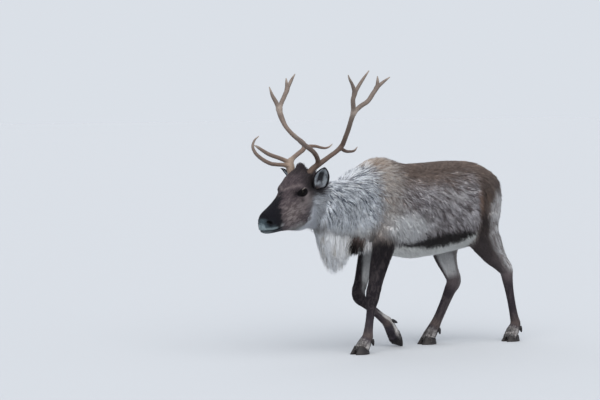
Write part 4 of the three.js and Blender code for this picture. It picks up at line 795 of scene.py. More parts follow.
def eye_frame(side):
    a = unit(np.array([0.30, 1.0 * side, 0.10]))
    u = unit(np.array([1.0, 0, -0.10]) - a * (np.array([1.0, 0, -0.10]) @ a))
    return EYE_AT * [1, side, 1], a, u, np.cross(a, u) * (1 if side > 0 else -1) * (1 if np.cross(a, u)[2] * (1 if side > 0 else -1) > 0 else -1)


def face_form(H, N):
    """folds, ridges and openings of the head, as moves of its skin, in the head frame"""
    x, y, z = H.T
    ay, side = np.abs(y), np.where(y >= 0, 1.0, -1.0)
    lat = sstep(0.022, 0.040, ay)
    d = np.zeros(len(H))
    d += 0.0048 * gauss(x - 0.145, 0.026) * gauss(z + 0.0245 + 0.10 * (x - 0.145), 0.0080) * lat          # brow
    d -= 0.0040 * gauss(x - 0.187, 0.013) * gauss(z + 0.064, 0.013) * lat                                  # gland pit
    d += 0.0030 * gauss(x - 0.185, 0.050) * gauss(z + 0.098 + 0.12 * (x - 0.185), 0.009) * lat             # cheek ridge
    d += 0.0032 * gauss(x - 0.100, 0.036) * gauss(z + 0.150, 0.036) * lat                                  # jaw muscle
    d -= 0.0034 * gauss(x - 0.215, 0.028) * gauss(z + 0.150, 0.020) * lat
    d -= 0.0022 * gauss(x - 0.275, 0.040) * gauss(z + 0.078 + 0.10 * (x - 0.275), 0.010) * sstep(0.016, 0.030, ay)
    d += 0.0020 * gauss(x - 0.330, 0.020) * gauss(z + 0.125, 0.018) * lat                                  # lip cushion
    d -= 0.0018 * gauss(x - 0.110, 0.05) * gauss(ay, 0.006) * sstep(0.0, 0.03, z)
    # lips
    lip = np.array([[0.320, -0.1725], [0.345, -0.171], [0.375, -0.165], [0.405, -0.157], [0.428, -0.148], [0.446, -0.141]])
    best = np.full(len(H), 9.0)
    for a, b in zip(lip[:-1], lip[1:]):
        e = b - a
        t = np.clip(((x - a[0]) * e[0] + (z - a[1]) * e[1]) / (e @ e), 0, 1)
        best = np.minimum(best, np.hypot(x - a[0] - t * e[0], z - a[1] - t * e[1]))
    d -= 0.0042 * np.exp(-(best / 0.0021) ** 2) * (0.6 + 0.4 * sstep(0.43, 0.36, x))
    d += 0.0016 * np.exp(-((best - 0.0075) / 0.0042) ** 2) * sstep(0.312, 0.33, x)
    # nostrils
    n = np.array([0.411, 0.035, -0.107])
    u, v = x - n[0], z - n[2]
    a, b = 0.72 * u + 0.69 * v, -0.69 * u + 0.72 * v
    at = sstep(0.016, 0.026, ay) * sstep(0.441, 0.433, x)
    d -= at * 0.0105 * np.exp(-((a / 0.0120) ** 2 + ((b + 0.35 * a ** 2 / 0.011) / 0.0054) ** 2) ** 1.4)
    d += at * 0.0022 * np.exp(-(((np.sqrt((a / 0.0135) ** 2 + (b / 0.0078) ** 2)) - 1.25) / 0.42) ** 2)
    d -= 0.0022 * np.exp(-(y / 0.0030) ** 2) * sstep(0.425, 0.437, x) * sstep(-0.150, -0.100, -(-z)) * 0
    H = H + N * d[:, None]
    # lids over the eyeballs
    for s in (1, -1):
        E, A, U, V = eye_frame(s)
        q = H - E
        qa, qu, qv = q @ A, q @ U, q @ V
        m = (qa > -0.004) & (np.hypot(qu, qv) < 0.034)
        if not m.any(): continue
        qu, qv = qu[m], qv[m]
        top = 0.0130 * (1 - (qu / 0.0190) ** 2) - 0.10 * qu
        bot = -0.0116 * (1 - (qu / 0.0190) ** 2) - 0.10 * qu
        gap = np.minimum(top - qv, qv - bot)                     # + inside the opening
        r = np.linalg.norm(q[m], axis=1)
        lid = EYE_RADIUS + 0.0018 + 0.0010 * np.exp(-((gap + 0.003) / 0.002) ** 2)
        near = sstep(0.0165, 0.002, -gap)
        want = r + (lid - r) * near * (gap <= 0)
        crease = np.exp(-((qv - top - 0.0065) / 0.0013) ** 2) * sstep(0.02, 0.01, np.abs(qu)) + 0.7 * np.exp(-((bot - qv - 0.0060) / 0.0013) ** 2) * sstep(0.02, 0.01, np.abs(qu))
        want = want - 0.0013 * crease
        inn = sstep(-0.0004, 0.0014, gap)
        want = want + (EYE_RADIUS * 0.80 - want) * inn
        H[m] = E + q[m] * (want / np.maximum(r, 1e-6))[:, None]
    return H


def refine():
    """the head's faces made finer, then shaped"""
    me = bpy.data.meshes.new('tmp')
    me.from_pydata(skin_P.tolist(), [], skin_Q.tolist())
    bm = bmesh.new()
    bm.from_mesh(me)
    bpy.data.meshes.remove(me)

    def cut(test):
        P = np.array([v.co for v in bm.verts])
        H = body_to_head(P)
        ok = test(H)
        edges = [e for e in bm.edges if ok[e.verts[0].index] and ok[e.verts[1].index]]
        bmesh.ops.subdivide_edges(bm, edges=edges, cuts=1, use_grid_fill=True)
        bm.verts.index_update()
        bm.verts.ensure_lookup_table()

    box = lambda H, a, b: ((H > a) & (H < b)).all(1)
    cut(lambda H: box(H, [0.040, -0.12, -0.262], [0.5, 0.12, 0.075]))
    P = np.array([v.co for v in bm.verts])
    H = body_to_head(P)
    m = box(H, [0.03, -0.13, -0.27], [0.5, 0.13, 0.10])
    P[m] = snap(P[m], 2)
    for v, p in zip(bm.verts, P): v.co = p

    def fine(H):
        e = np.hypot(H[:, 0] - EYE_AT[0], H[:, 2] - EYE_AT[2]) < 0.030
        e &= np.abs(H[:, 1]) > 0.03
        lipz = np.interp(H[:, 0], [0.31, 0.345, 0.375, 0.405, 0.428, 0.45], [-0.172, -0.171, -0.165, -0.157, -0.148, -0.141])
        mth = (np.abs(H[:, 2] - lipz) < 0.011) & (H[:, 0] > 0.312)
        nos = (np.hypot(H[:, 0] - 0.411, H[:, 2] + 0.107) < 0.022) & (H[:, 0] > 0.39)
        return e | mth | nos
    cut(fine)
    cut(lambda H: (np.hypot(H[:, 0] - EYE_AT[0], (H[:, 2] - EYE_AT[2]) * 1.25) < 0.0235) & (np.abs(H[:, 1]) > 0.03))
    P = np.array([v.co for v in bm.verts])
    H = body_to_head(P)
    m = box(H, [0.03, -0.13, -0.27], [0.5, 0.13, 0.10])
    Q = snap(P[m], 2)
    G = unit(blend_slope(Q)) @ HEAD_R
    P[m] = head_to_body(face_form(body_to_head(Q), G))
    faces = [[v.index for v in f.verts] for f in bm.faces]
    bm.free()
    return P, faces


def snap(P, times=1):
    for _ in range(times):
        g = blend_slope(P)
        P = P - g * np.clip(blend_at(P) / np.maximum((g * g).sum(1), 0.05), -0.005, 0.005)[:, None]
    return P


# ears: thin curved shells
def ear_point(side, s, v, inner, shrink=1.0):
    e = EARS[side]
    t = unit(np.array(e['axis'], float))
    o = unit(np.array(e['open'], float) - t * (t @ np.array(e['open'], float)))
    w = np.cross(t, o)
    half = np.maximum(0.004, EAR['width'] * np.sin(math.pi * (0.14 + 0.86 * np.clip(s, 0, 1))) ** 0.66) * shrink
    foot = sstep(0.16, -0.17, s)
    half = half * (1 - 0.50 * foot)
    bend = 1.75 - 1.05 * s
    R = half / np.sin(np.minimum(math.pi / 2, bend))
    r = R - inner * EAR['thick'] * (1 - 0.5 * s)
    a = v * bend
    lean = -0.012 * np.sin(math.pi * s)
    p = (np.array(e['base']) + t * (EAR['length'] * s)[:, None] + w * (r * np.sin(a))[:, None]
         + o * (lean - r * np.cos(a) + R * np.cos(bend))[:, None])
    into = np.array([0.052, 0.058 * np.sign(e['base'][1]), -0.062]) - np.array(e['base'])
    return head_to_body(p + into * (foot * 0.75)[:, None])


def ear_shell(side):
    ns, nv = 40, 22
    S = np.linspace(-0.17, 0.985, ns)
    loop = [(v, 0.12) for v in np.linspace(-0.96, 0.96, nv)] + [(v, 0.80) for v in np.linspace(0.93, -0.93, nv)]
    V, I = np.array([a for a, _ in loop]), np.array([b for _, b in loop])
    m = len(loop)
    P = ear_point(side, np.repeat(S, m), np.tile(V, ns), np.tile(I, ns), 0.97)
    F = [[i * m + j, i * m + (j + 1) % m, (i + 1) * m + (j + 1) % m, (i + 1) * m + j] for i in range(ns - 1) for j in range(m)]
    F += [list(range(m))[::-1], [(ns - 1) * m + j for j in range(m)]]
    inner = np.tile(I > 0.5, ns)
    return P, F, inner, np.repeat(S, m), np.tile(V, ns)


def paint_ear(s, v, inner, noise):
    c = np.tile(rgb(84, 74, 72), (len(s), 1))
    c = mixc(c, rgb(44, 38, 40), sstep(0.60, 0.84, s))
    c = mixc(c, rgb(34, 29, 33), sstep(0.20, 0.04, s) * (1 - inner))
    c = mixc(c, rgb(176, 183, 190), inner * sstep(-0.02, 0.08, s))
    c = mixc(c, rgb(104, 104, 112), inner * 0.7 * sstep(0.50, 0.64, noise))
    slit = inner * sstep(0.44, 0.20, np.abs(v + 0.04) + 0.25 * (noise - 0.5)) * sstep(0.84, 0.60, s) * sstep(0.12, 0.26, s + 0.2 * (noise - 0.5))
    c = mixc(c, rgb(34, 31, 38), slit * 0.93)
    rim = sstep(0.70, 0.86, np.abs(v)) + sstep(0.80, 0.90, s) * (0.5 + 0.5 * inner)
    return mixc(c, rgb(22, 19, 23), np.clip(rim, 0, 1) * 0.97)


skin_P, skin_F = refine()
HEAD_FACES = None
ear_of = np.zeros(len(skin_P), int)
ear_c = []
for side in ('left', 'right'):
    p, fcs, inner, s_, v_ = ear_shell(side)
    skin_F += [[i + len(skin_P) for i in q] for q in fcs]
    ear_c.append((len(skin_P), len(p), s_, v_, inner))
    skin_P = np.concatenate([skin_P, p])
    ear_of = np.concatenate([ear_of, np.full(len(p), 1 if side == 'left' else 2)])
skin = mesh_from('hide', skin_P, skin_F)
skin_N = np.zeros(len(skin_P) * 3, np.float32)
skin.data.vertices.foreach_get('normal', skin_N)
skin_N = skin_N.reshape(-1, 3).astype(float) * [-1, -1, 1]
SKIN_W = shares(skin_P)
skin_C = paint(skin_P, skin_N, SKIN_W)
for a, n, s_, v_, inner in ear_c:
    skin_C[a:a + n] = paint_ear(s_, v_, inner * 1.0, vnoise(skin_P[a:a + n] * 60, 5))
print('skin', len(skin_P), len(skin_F), 'tris', sum(len(q) - 2 for q in skin_F))


def set_colour(ob, C, name='Col'):
    at = ob.data.color_attributes.new(name, 'FLOAT_COLOR', 'POINT')
    at.data.foreach_set('color', np.concatenate([np.clip(C, 0, 1), np.ones((len(C), 1))], 1).astype(np.float32).ravel())


def set_vector(ob, V, name='Flow'):
    at = ob.data.attributes.new(name, 'FLOAT_VECTOR', 'POINT')
    at.data.foreach_set('vector', np.asarray(V, np.float32).ravel())


set_colour(skin, skin_C)
skin_D = lie(skin_P, skin_N, SKIN_W)
Dr = dir_row(skin_D)
Pr = to_row(skin_P)
set_vector(skin, Pr - Dr * ((Pr * Dr).sum(1) * 0.85)[:, None])

# ------------------------------------------------------------------ eyes
for side, s in (('left', 1), ('right', -1)):
    E, A, U, V = eye_frame(s)
    nu, nv = 48, 32
    pts, cols = [], []
    for i in range(nv + 1):
        t = math.pi * i / nv
        for j in range(nu):
            a = 2 * math.pi * j / nu
            r = EYE_RADIUS * (1 + 0.045 * math.exp(-(t / 0.62) ** 2))
            pts.append(E + r * (A * math.cos(t) + U * math.sin(t) * math.cos(a) + V * math.sin(t) * math.sin(a)))
            ix, iy = math.sin(t) * math.cos(a), math.sin(t) * math.sin(a)
            c = rgb(13, 9, 8)
            c = mixc(c[None], rgb(10, 8, 8), [sstep(0.38, 0.58, math.hypot(ix, iy))])
            c = mixc(c, rgb(4, 4, 5), [float(sstep(1.08, 0.92, math.hypot(ix / 0.36, iy / 0.20)))])
            c = mixc(c, rgb(18, 14, 14), [float(sstep(0.62, 0.72, math.hypot(ix, iy)))])
            cols.append(c[0])
    F = [[i * nu + j, i * nu + (j + 1) % nu, (i + 1) * nu + (j + 1) % nu, (i + 1) * nu + j] for i in range(nv) for j in range(nu)]
    if s < 0: F = [q[::-1] for q in F]
    ball = mesh_from('eyeball_' + side, head_to_body(np.array(pts)), F)
    bm = bmesh.new(); bm.from_mesh(ball.data); bmesh.ops.remove_doubles(bm, verts=bm.verts, dist=1e-6)
    bm.to_mesh(ball.data); bm.free()
    P = np.array([v.co for v in ball.data.vertices])
    src = to_row(head_to_body(np.array(pts)))
    C = np.array(cols)
    near = ((P[:, None, :] - src[None]) ** 2).sum(2).argmin(1)
    set_colour(ball, C[near])
    ball['of_kind'] = 'eye'

# ------------------------------------------------------------------ antlers
def antler_field(side, h=0.0026):
    A = ANTLER[side]
    branches = [A['beam']] + [A[k] for k in A if k not in ('beam', 'crown_front', 'crown_rear')] + [r for k in ('crown_front', 'crown_rear') for r in A[k]]
    curves = []
    for b in branches:
        R = np.array([[*r[:3], r[3], r[3], r[3], 2] for r in b])
        R = resample(R, 4)[:, :4]
        curves.append(np.column_stack([head_to_body(R[:, :3]), R[:, 3]]))
    pts = np.concatenate(curves)
    lo = pts[:, :3].min(0) - 0.035
    n = np.ceil((pts[:, :3].max(0) + 0.035 - lo) / h).astype(int) + 1
    V = np.full(n, 9.0, np.float32)
    for bi, C in enumerate(curves):
        B, blo, bn = None, None, None
        i0 = np.clip(np.floor((C[:, :3].min(0) - 0.03 - lo) / h).astype(int), 0, n)
        i1 = np.clip(np.ceil((C[:, :3].max(0) + 0.03 - lo) / h).astype(int), 0, n)
        B = np.full(i1 - i0, 9.0, np.float32)
        run = 0.0
        for k in range(len(C) - 1):
            a, b = C[k], C[k + 1]
            m = max(a[3], b[3]) + 0.014
            j0 = np.clip(np.floor((np.minimum(a[:3], b[:3]) - m - lo) / h).astype(int), i0, i1)
            j1 = np.clip(np.ceil((np.maximum(a[:3], b[:3]) + m - lo) / h).astype(int) + 1, i0, i1)
            if (j1 <= j0).any(): continue
            ax = [lo[q] + np.arange(j0[q], j1[q]) * h for q in range(3)]
            G = np.stack(np.meshgrid(*ax, indexing='ij'), -1).reshape(-1, 3)
            d = b[:3] - a[:3]
            L = np.linalg.norm(d)
            t = np.clip((G - a[:3]) @ d / (L * L), 0, 1)
            q = G - a[:3] - t[:, None] * d
            dist = np.linalg.norm(q, axis=1)
            r = a[3] + (b[3] - a[3]) * t
            tn = d / L
            ref = unit(np.cross(tn, [0.3, 0.2, 1.0]))
            th = np.arctan2(q @ np.cross(tn, ref), q @ ref)
            s = run + t * L
            big = sstep(0.006, 0.011, r)
            r = r + big * (0.00050 * np.cos(7 * th + 3.0 * np.sin(s * 23) + bi) + 0.00035 * np.cos(11 * th - 17 * s + 2 * bi))
            if bi == 0:
                r = r + 0.0030 * np.exp(-((s - 0.022) / 0.0070) ** 2) * (1 + 0.30 * np.cos(9 * th + 2) + 0.15 * np.cos(17 * th))  # burr
                r = r + 0.0008 * np.exp(-(s / 0.16) ** 2) * np.cos(13 * th + 40 * s)
            sl = tuple(slice(j0[q2] - i0[q2], j1[q2] - i0[q2]) for q2 in range(3))
            val = (dist - r).reshape([len(x) for x in ax]).astype(np.float32)
            B[sl] = np.minimum(B[sl], val)
            run += L
        sl = tuple(slice(i0[q], i1[q]) for q in range(3))
        if bi == 0:
            V[sl] = np.minimum(V[sl], B)
        else:
            V[sl] = smin(V[sl], B, 0.009)
    P, Q = nets(V, lo, h)
    S = Sampler(V, lo, h)
    P = S.project(P, 1)
    return P, Q, curves


def paint_antler(P, side, curves):
    H = body_to_head(P)
    far = np.full(len(P), 9.0)
    tipd = np.full(len(P), 9.0)
    for C in curves:
        tipd = np.minimum(tipd, np.linalg.norm(P - C[-1, :3], axis=1))
    low = sstep(0.30, 0.02, H[:, 2])
    c = np.tile(rgb(112, 99, 91), (len(P), 1))
    if side == 'L':
        c = mixc(c, rgb(84, 66, 56), low * 0.95)
    else:
        c = mixc(c, rgb(108, 88, 76), low * 0.75)
        c = mixc(c, rgb(152, 134, 119), 0.9 * gauss(np.linalg.norm(H - [0.04, -0.062, 0.055], axis=1), 0.038))
    c = mixc(c, rgb(168, 155, 144), 0.6 * sstep(0.045, 0.005, tipd))
    n = fbm(P * 55, 7)
    return c * (0.80 + 0.40 * n)[:, None]


for side, name in (('L', 'left'), ('R', 'right')):
    P, Q, curves = antler_field(side)
    ob = mesh_from('antler_' + name, P, Q)
    set_colour(ob, paint_antler(P, side, curves))
    ob['of_kind'] = 'antler'
    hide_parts(*[n for n in frame['nodes'] if n.startswith('antler_' + name)])
    print('antler', len(P), len(Q))


# ------------------------------------------------------------------ hooves
def on_foot(foot, turn, a, b, c):
    h, p = (foot['head'] + turn) * D2R, foot.get('pitch', 0) * D2R
    X, Z = a * math.cos(p) + c * math.sin(p), -a * math.sin(p) + c * math.cos(p)
    at = np.array(foot['at'], float)
    return np.stack([at[0] + X * math.cos(h) - b * math.sin(h), at[1] + X * math.sin(h) + b * math.cos(h), at[2] + Z], 1)


def claw(foot, inner):
    na, V = 56, np.concatenate([[0, 0.02, 0.06], np.linspace(0.12, 1.0, 16)])
    a = np.linspace(0, 2 * math.pi, na, endpoint=False)
    rows = []
    for v in V:
        k = (1 - 0.05 * max(0, 1 - v / 0.05)) * (1 + 0.006 * math.sin(v * 34) * (0.2 < v < 0.98))
        ln = CLAW['length'] * (0.5 - 0.16 * v)
        ca, sa = np.cos(a), np.sin(a)
        x = ln * k * ca - 0.014 * v
        wd = CLAW['width'] * foot.get('slim', 1) * (0.5 - 0.10 * v)
        y = wd * sa * k * (1 - 0.25 * np.maximum(0, ca)) + wd * 1.02 + 0.0012
        y = np.where(ca > 0, y - CLAW['width'] * foot.get('slim', 1) * 0.20 * ca * ca * (1 - 0.3 * v), y)
        y = np.maximum(y, 0.0012 + 0.002 * (1 - v))
        top = 0.030 + 0.017 * (0.5 + 0.5 * ca)
        rows.append(on_foot(foot, inner * foot['spread'] / 2, x, inner * y, v * top))
    P = np.concatenate(rows)
    n = len(V)
    F = [[i * na + j, i * na + (j + 1) % na, (i + 1) * na + (j + 1) % na, (i + 1) * na + j] for i in range(n - 1) for j in range(na)]
    F += [list(range(na))[::-1], [(n - 1) * na + j for j in range(na)]]
    if inner < 0: F = [q[::-1] for q in F]
    vv = np.repeat(V, na)
    C = mixc(np.tile(rgb(27, 24, 26), (len(P), 1)), rgb(66, 58, 54), 0.5 * sstep(0.10, 0.0, vv))
    C = mixc(C, rgb(50, 44, 42), 0.5 * sstep(0.45, 0.65, vnoise(np.column_stack([vv * 14, P[:, 0] * 3, P[:, 1] * 3]), 4)))
    return P, F, C


def dewclaw(joints, inner):
    J = np.array(joints, float)
    fet, down = J[-2], unit(J[-1] - J[-2])
    back = unit(np.cross(down, [0, 1, 0]))
    if back[0] * (1 if abs(down[2]) > 0.2 else 1) > 0: back = -back
    side = np.cross(down, back)
    if side[1] < 0: side = -side
    a, b = np.array(DEWCLAW['from']), np.array(DEWCLAW['to']) * [0.70, 0.90, 1.0]
    T = np.linspace(0, 1, 14)
    R = np.interp(T, [0, 0.35, 0.75, 1], [0.9, 1.0, 0.74, 0.30]) * DEWCLAW['radius'] * 0.85
    rows, na = [], 20
    w = lambda q: fet + back * q[0] + side * q[1] * inner + down * q[2]
    ax = unit(w(b) - w(a))
    u = unit(np.cross(ax, [0, 1, 0]))
    v = np.cross(ax, u)
    for t, r in zip(T, R):
        c = w(a + (b - a) * t)
        an = np.linspace(0, 2 * math.pi, na, endpoint=False)
        rows.append(c + (u * np.cos(an)[:, None] + v * 0.92 * np.sin(an)[:, None]) * r * (1 + 0.015 * math.sin(t * 40)))
    P = np.concatenate(rows)
    F = [[i * na + j, i * na + (j + 1) % na, (i + 1) * na + (j + 1) % na, (i + 1) * na + j] for i in range(13) for j in range(na)]
    F += [list(range(na))[::-1], [13 * na + j for j in range(na)]]
    return P, F, np.tile(rgb(28, 25, 27), (len(P), 1))


for key, long in (('fore_L', 'foreleg_left'), ('fore_R', 'foreleg_right'), ('hind_L', 'hindleg_left'), ('hind_R', 'hindleg_right')):
    for inner, s in ((1, 'left'), (-1, 'right')):
        for kind in ('claw', 'dewclaw'):
            P, F, C = claw(FEET[key], inner) if kind == 'claw' else dewclaw(LEG_JOINTS[key], inner)
            ob = mesh_from('%s_%s_%s_horn' % (long, kind, s), P, F)
            bm = bmesh.new(); bm.from_mesh(ob.data); bmesh.ops.recalc_face_normals(bm, faces=bm.faces); bm.to_mesh(ob.data); bm.free()
            set_colour(ob, C)
            ob['of_kind'] = 'hoof'
            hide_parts('%s_%s_%s' % (long, kind, s))

# ------------------------------------------------------------------ coat
RNG = np.random.default_rng(11)
TRI, TRI_FACE = [], []
for q in skin_F:
    for k in range(1, len(q) - 1): TRI.append((q[0], q[k], q[k + 1]))
TRI = np.array(TRI)
TRI = TRI[ear_of[TRI[:, 0]] == 0]
_a, _b, _c = skin_P[TRI[:, 0]], skin_P[TRI[:, 1]], skin_P[TRI[:, 2]]
TRI_AREA = 0.5 * np.linalg.norm(np.cross(_b - _a, _c - _a), axis=1)
TRI_MID = (_a + _b + _c) / 3
WK = list(SKIN_W)
WM = np.stack([SKIN_W[k] for k in WK], 1)
TRI_W = {k: SKIN_W[k][TRI].mean(1) for k in WK}


def roots(density, pick):
    """points spread over the skin's faces where pick is true, density in tufts for each square metre"""
    w = TRI_AREA * density * pick
    n = int(w.sum())
    if n < 1: return np.zeros((0, 3)), np.zeros((0, 3)), {k: np.zeros(0) for k in WK}
    cum = np.cumsum(w)
    t = np.minimum(np.searchsorted(cum, (np.arange(n) + RNG.random(n)) / n * cum[-1]), len(w) - 1)
    u, v = RNG.random(n), RNG.random(n)
    flip = u + v > 1
    u[flip], v[flip] = 1 - u[flip], 1 - v[flip]
    B = np.stack([1 - u - v, u, v], 1)
    P = (skin_P[TRI[t]] * B[:, :, None]).sum(1)
    N = unit((skin_N[TRI[t]] * B[:, :, None]).sum(1))
    W = (WM[TRI[t]] * B[:, :, None]).sum(1)
    return P, N, {k: W[:, i] for i, k in enumerate(WK)}


COAT_TRIS = [0]


def tufts(name, P, D, N, L, Wd, rise, C, uv, rings=3, flat=0.8, bend=0.12, root_dark=0.62, tip_light=1.10, thick=0.42, drop=0.0, sink=0.003, vary=0.10):
    """one joined mesh of tapered locks; P roots, D lie, N outward, L length, Wd width, rise = sine of the first angle"""
    n = len(P)
    if n == 0: return None
    one = np.ones(n)
    L, Wd, rise, drop = L * one, Wd * one, rise * one, drop * one
    T = {1: [0.0], 2: [0.0, 0.52], 3: [0.0, 0.38, 0.74], 4: [0.0, 0.28, 0.55, 0.80], 5: [0.0, 0.22, 0.45, 0.67, 0.86]}[rings]
    S = unit(np.cross(N, D))
    b = RNG.normal(0, 1, n) * bend
    cosr = np.sqrt(np.maximum(1 - rise ** 2, 0.05))
    pts, cols, uvs = [], [], []
    rnd = 1 + RNG.normal(0, vary, n)
    for t in T + [1.0]:
        x = t * (cosr + (1 - cosr) * t)
        c = (P - N * sink + D * (L * x)[:, None] + N * (L * rise * (t - 0.5 * flat * t * t))[:, None]
             + S * (L * b * t * t)[:, None] - np.array([0, 0, 1.0]) * (L * drop * t * t)[:, None])
        col = C * (max(root_dark + (tip_light - root_dark) * t ** 0.8, 0.4) * rnd)[:, None]
        if t == 1.0:
            pts.append(c[:, None]); cols.append(col[:, None]); uvs.append((uv + [0, 0.0015])[:, None])
            break
        w = Wd * ({0: 0.8}.get(t, (1 - t) ** 0.55 * 1.12))
        ring = np.stack([c - S * (w / 2)[:, None], c + S * (w / 2)[:, None], c + N * (w * thick)[:, None]], 1)
        pts.append(ring)
        cols.append(np.repeat(col[:, None], 3, 1))
        uvs.append(np.stack([uv + [-0.0015, 0.003 * t - 0.0015], uv + [0.0015, 0.003 * t - 0.0015], uv + [0, 0.003 * t - 0.0015]], 1))
    V = np.concatenate(pts, 1)
    k = V.shape[1]
    f = []
    for r in range(len(T) - 1):
        for j in range(3):
            a, c2 = 3 * r + j, 3 * r + (j + 1) % 3
            f += [(a, c2, c2 + 3), (a, c2 + 3, a + 3)]
    last = 3 * (len(T) - 1)
    for j in range(3): f.append((last + j, last + (j + 1) % 3, k - 1))
    f = np.array(f)
    F = (f[None] + (np.arange(n) * k)[:, None, None]).reshape(-1, 3)
    ob = mesh_from(name, V.reshape(-1, 3), F)
    set_colour(ob, np.concatenate(cols, 1).reshape(-1, 3))
    U = np.concatenate(uvs, 1).reshape(-1, 2)
    lay = ob.data.uv_layers.new(name='OFBake')
    lay.uv.foreach_set('vector', U[F.ravel()].astype(np.float32).ravel())
    ob['of_kind'] = 'coat'
    COAT_TRIS[0] += len(F)
    if len(F) > 199000: print('TOO MANY', name)
    print('%-26s %6d tufts %7d tris' % (name, n, len(F)))
    return ob


def chart(a, b):
    """a place on the unwrap, kept inside the map"""
    f = lambda v: 0.01 + 0.98 * (v - v.min()) / max(np.ptp(v), 1e-6)
    return np.stack([f(a), f(b)], 1)


def around(P): return np.arctan2(P[:, 1], P[:, 2] - 0.80)


def turned(D, N, deg):
    """directions turned about the normal"""
    a = deg * D2R
    S = np.cross(N, D)
    return unit(D * np.cos(a)[:, None] + S * np.sin(a)[:, None])


def gather(P, D, N, L, every, k, wide=0.35):
    """tips drawn together into locks: each root leans towards the line of its nearest lock"""
    n = len(P)
    if n < 50: return D
    m = max(int(n / every), 8)
    idx = RNG.permutation(n)[:m]
    F = P - D * ((P * D).sum(1) * wide)[:, None]
    K = F[idx]
    best, bi = np.full(n, 9.0), np.zeros(n, int)
    for i in range(0, m, 64):
        d = ((F[:, None, :] - K[None, i:i + 64]) ** 2).sum(2)
        j = d.argmin(1)
        v = d[np.arange(n), j]
        t = v < best
        best[t], bi[t] = v[t], i + j[t]
    off = P[idx][bi] - P
    S = np.cross(N, D)
    side = np.clip((off * S).sum(1) / np.maximum(L, 1e-4), -0.7, 0.7)
    return unit(D + S * (side * k)[:, None])


def clump(P, D, freq, seed):
    """slow turning of the lie, so that locks part and meet"""
    return (fbm(P * freq, seed, 2) - 0.5) * 2


dom = np.stack([TRI_W[k] for k in WK], 1).argmax(1)
DOM = lambda k: dom == WK.index(k)
mid_head = body_to_head(TRI_MID)

# trunk: four pieces
for side, sg in (('left', 1), ('right', -1)):
    for part, lo_f, hi_f in (('fore', 0.02, 9), ('hind', -9, 0.02)):
        pick = DOM('trunk') & (TRI_MID[:, 1] * sg > 0) & (TRI_MID[:, 0] > lo_f) & (TRI_MID[:, 0] <= hi_f)
        belly = sstep(0.62, 0.57, TRI_MID[:, 2])
        P, N, W = roots(51000 * (1 - 0.45 * belly), pick)
        D = lie(P, N, W)
        D = turned(D, N, 30 * clump(P, D, 14, 31) + RNG.normal(0, 7, len(P)))
        h = depth(P, W)
        f, l, z = P.T
        long = 1 + 0.35 * np.exp(-((f - 0.29) / 0.08) ** 2 - ((z - 0.68) / 0.07) ** 2) + 0.15 * band(z, 0.62, 0.86, 0.03) * band(f, -0.25, 0.3, 0.05)
        L = h * 2.85 * long * RNG.uniform(0.82, 1.18, len(P))
        rise = np.clip(h / (0.54 * L), 0, 0.72) * RNG.uniform(0.80, 1.12, len(P))
        D = gather(P, D, N, L, 26, 0.75)
        C = paint(P + D * (L * 0.55)[:, None], N, W)
        tufts('coat_trunk_%s_%s' % (side, part), P, D, N, L, 0.0044 * RNG.uniform(0.7, 1.3, len(P)), rise, C, chart(f, around(P)), rings=2, flat=1.0, root_dark=0.64, tip_light=1.10, vary=0.11)

# neck and mane: two pieces
for side, sg in (('left', 1), ('right', -1)):
    pick = DOM('neck') & (TRI_MID[:, 1] * sg > 0.003 * sg)
    P, N, W = roots(100000.0, pick)
    D = lie(P, N, W)
    D = turned(D, N, 30 * clump(P, D, 17, 41) + RNG.normal(0, 8, len(P)))
    h = depth(P, W)
    f, l, z = P.T
    near = sstep(0.02, 0.45, W['head'])
    L = h * 2.30 * (1 + 0.45 * sstep(0.78, 0.70, z)) * RNG.uniform(0.80, 1.2, len(P)) * (1 - 0.30 * near)
    rise = np.clip(h / (0.56 * L), 0, 0.75) * RNG.uniform(0.80, 1.12, len(P)) * (1 - 0.35 * near)
    D = gather(P, D, N, L, 34, 0.70)
    C = paint(P + D * (L * 0.55)[:, None], N, W)
    tufts('coat_neck_' + side, P, D, N, L, 0.0036 * RNG.uniform(0.7, 1.3, len(P)), rise, C, chart(f, around(P)), rings=2, flat=1.0, root_dark=0.82, tip_light=1.08, vary=0.13)

# beard: long locks that hang from the throat
BR = resample(BEARD, 6)


def beard_locks(n):
    fs = RNG.uniform(0.470, 0.772, n)
    q = RNG.uniform(-1, 1, n)
    q = np.sign(q) * np.abs(q) ** 0.75
    sec = lambda x, c: np.interp(x, BR[:, 0], BR[:, c])
    l0 = sec(fs, 1) + q * sec(fs, 3) * 0.95
    zs = np.linspace(0.90, 0.56, 70)
    G = np.stack([np.repeat(fs, 70), np.repeat(l0, 70), np.tile(zs, n)], 1)
    v = BODY(G).reshape(n, 70)
    inside = v < 0
    lastin = 69 - np.argmax(inside[:, ::-1], 1)
    z0 = np.where(inside.any(1), zs[lastin], sec(fs, 2)) + 0.004
    fe = 0.628 + (fs - 0.628) * 1.0 + RNG.normal(0, 0.007, n)
    qe = q * 0.92
    full = 1 + 0.15 * np.exp(-((fe - 0.690) / 0.030) ** 2) + 0.12 * np.exp(-((fe - 0.560) / 0.030) ** 2)
    ze = sec(fe, 2) - sec(fe, 5) * full * (1 - np.abs(qe) ** 2.4) ** 0.42
    le = sec(fe, 1) + qe * sec(fe, 3)
    A, B = np.stack([fs, l0, z0], 1), np.stack([fe, le, ze], 1)
    return A, B, q


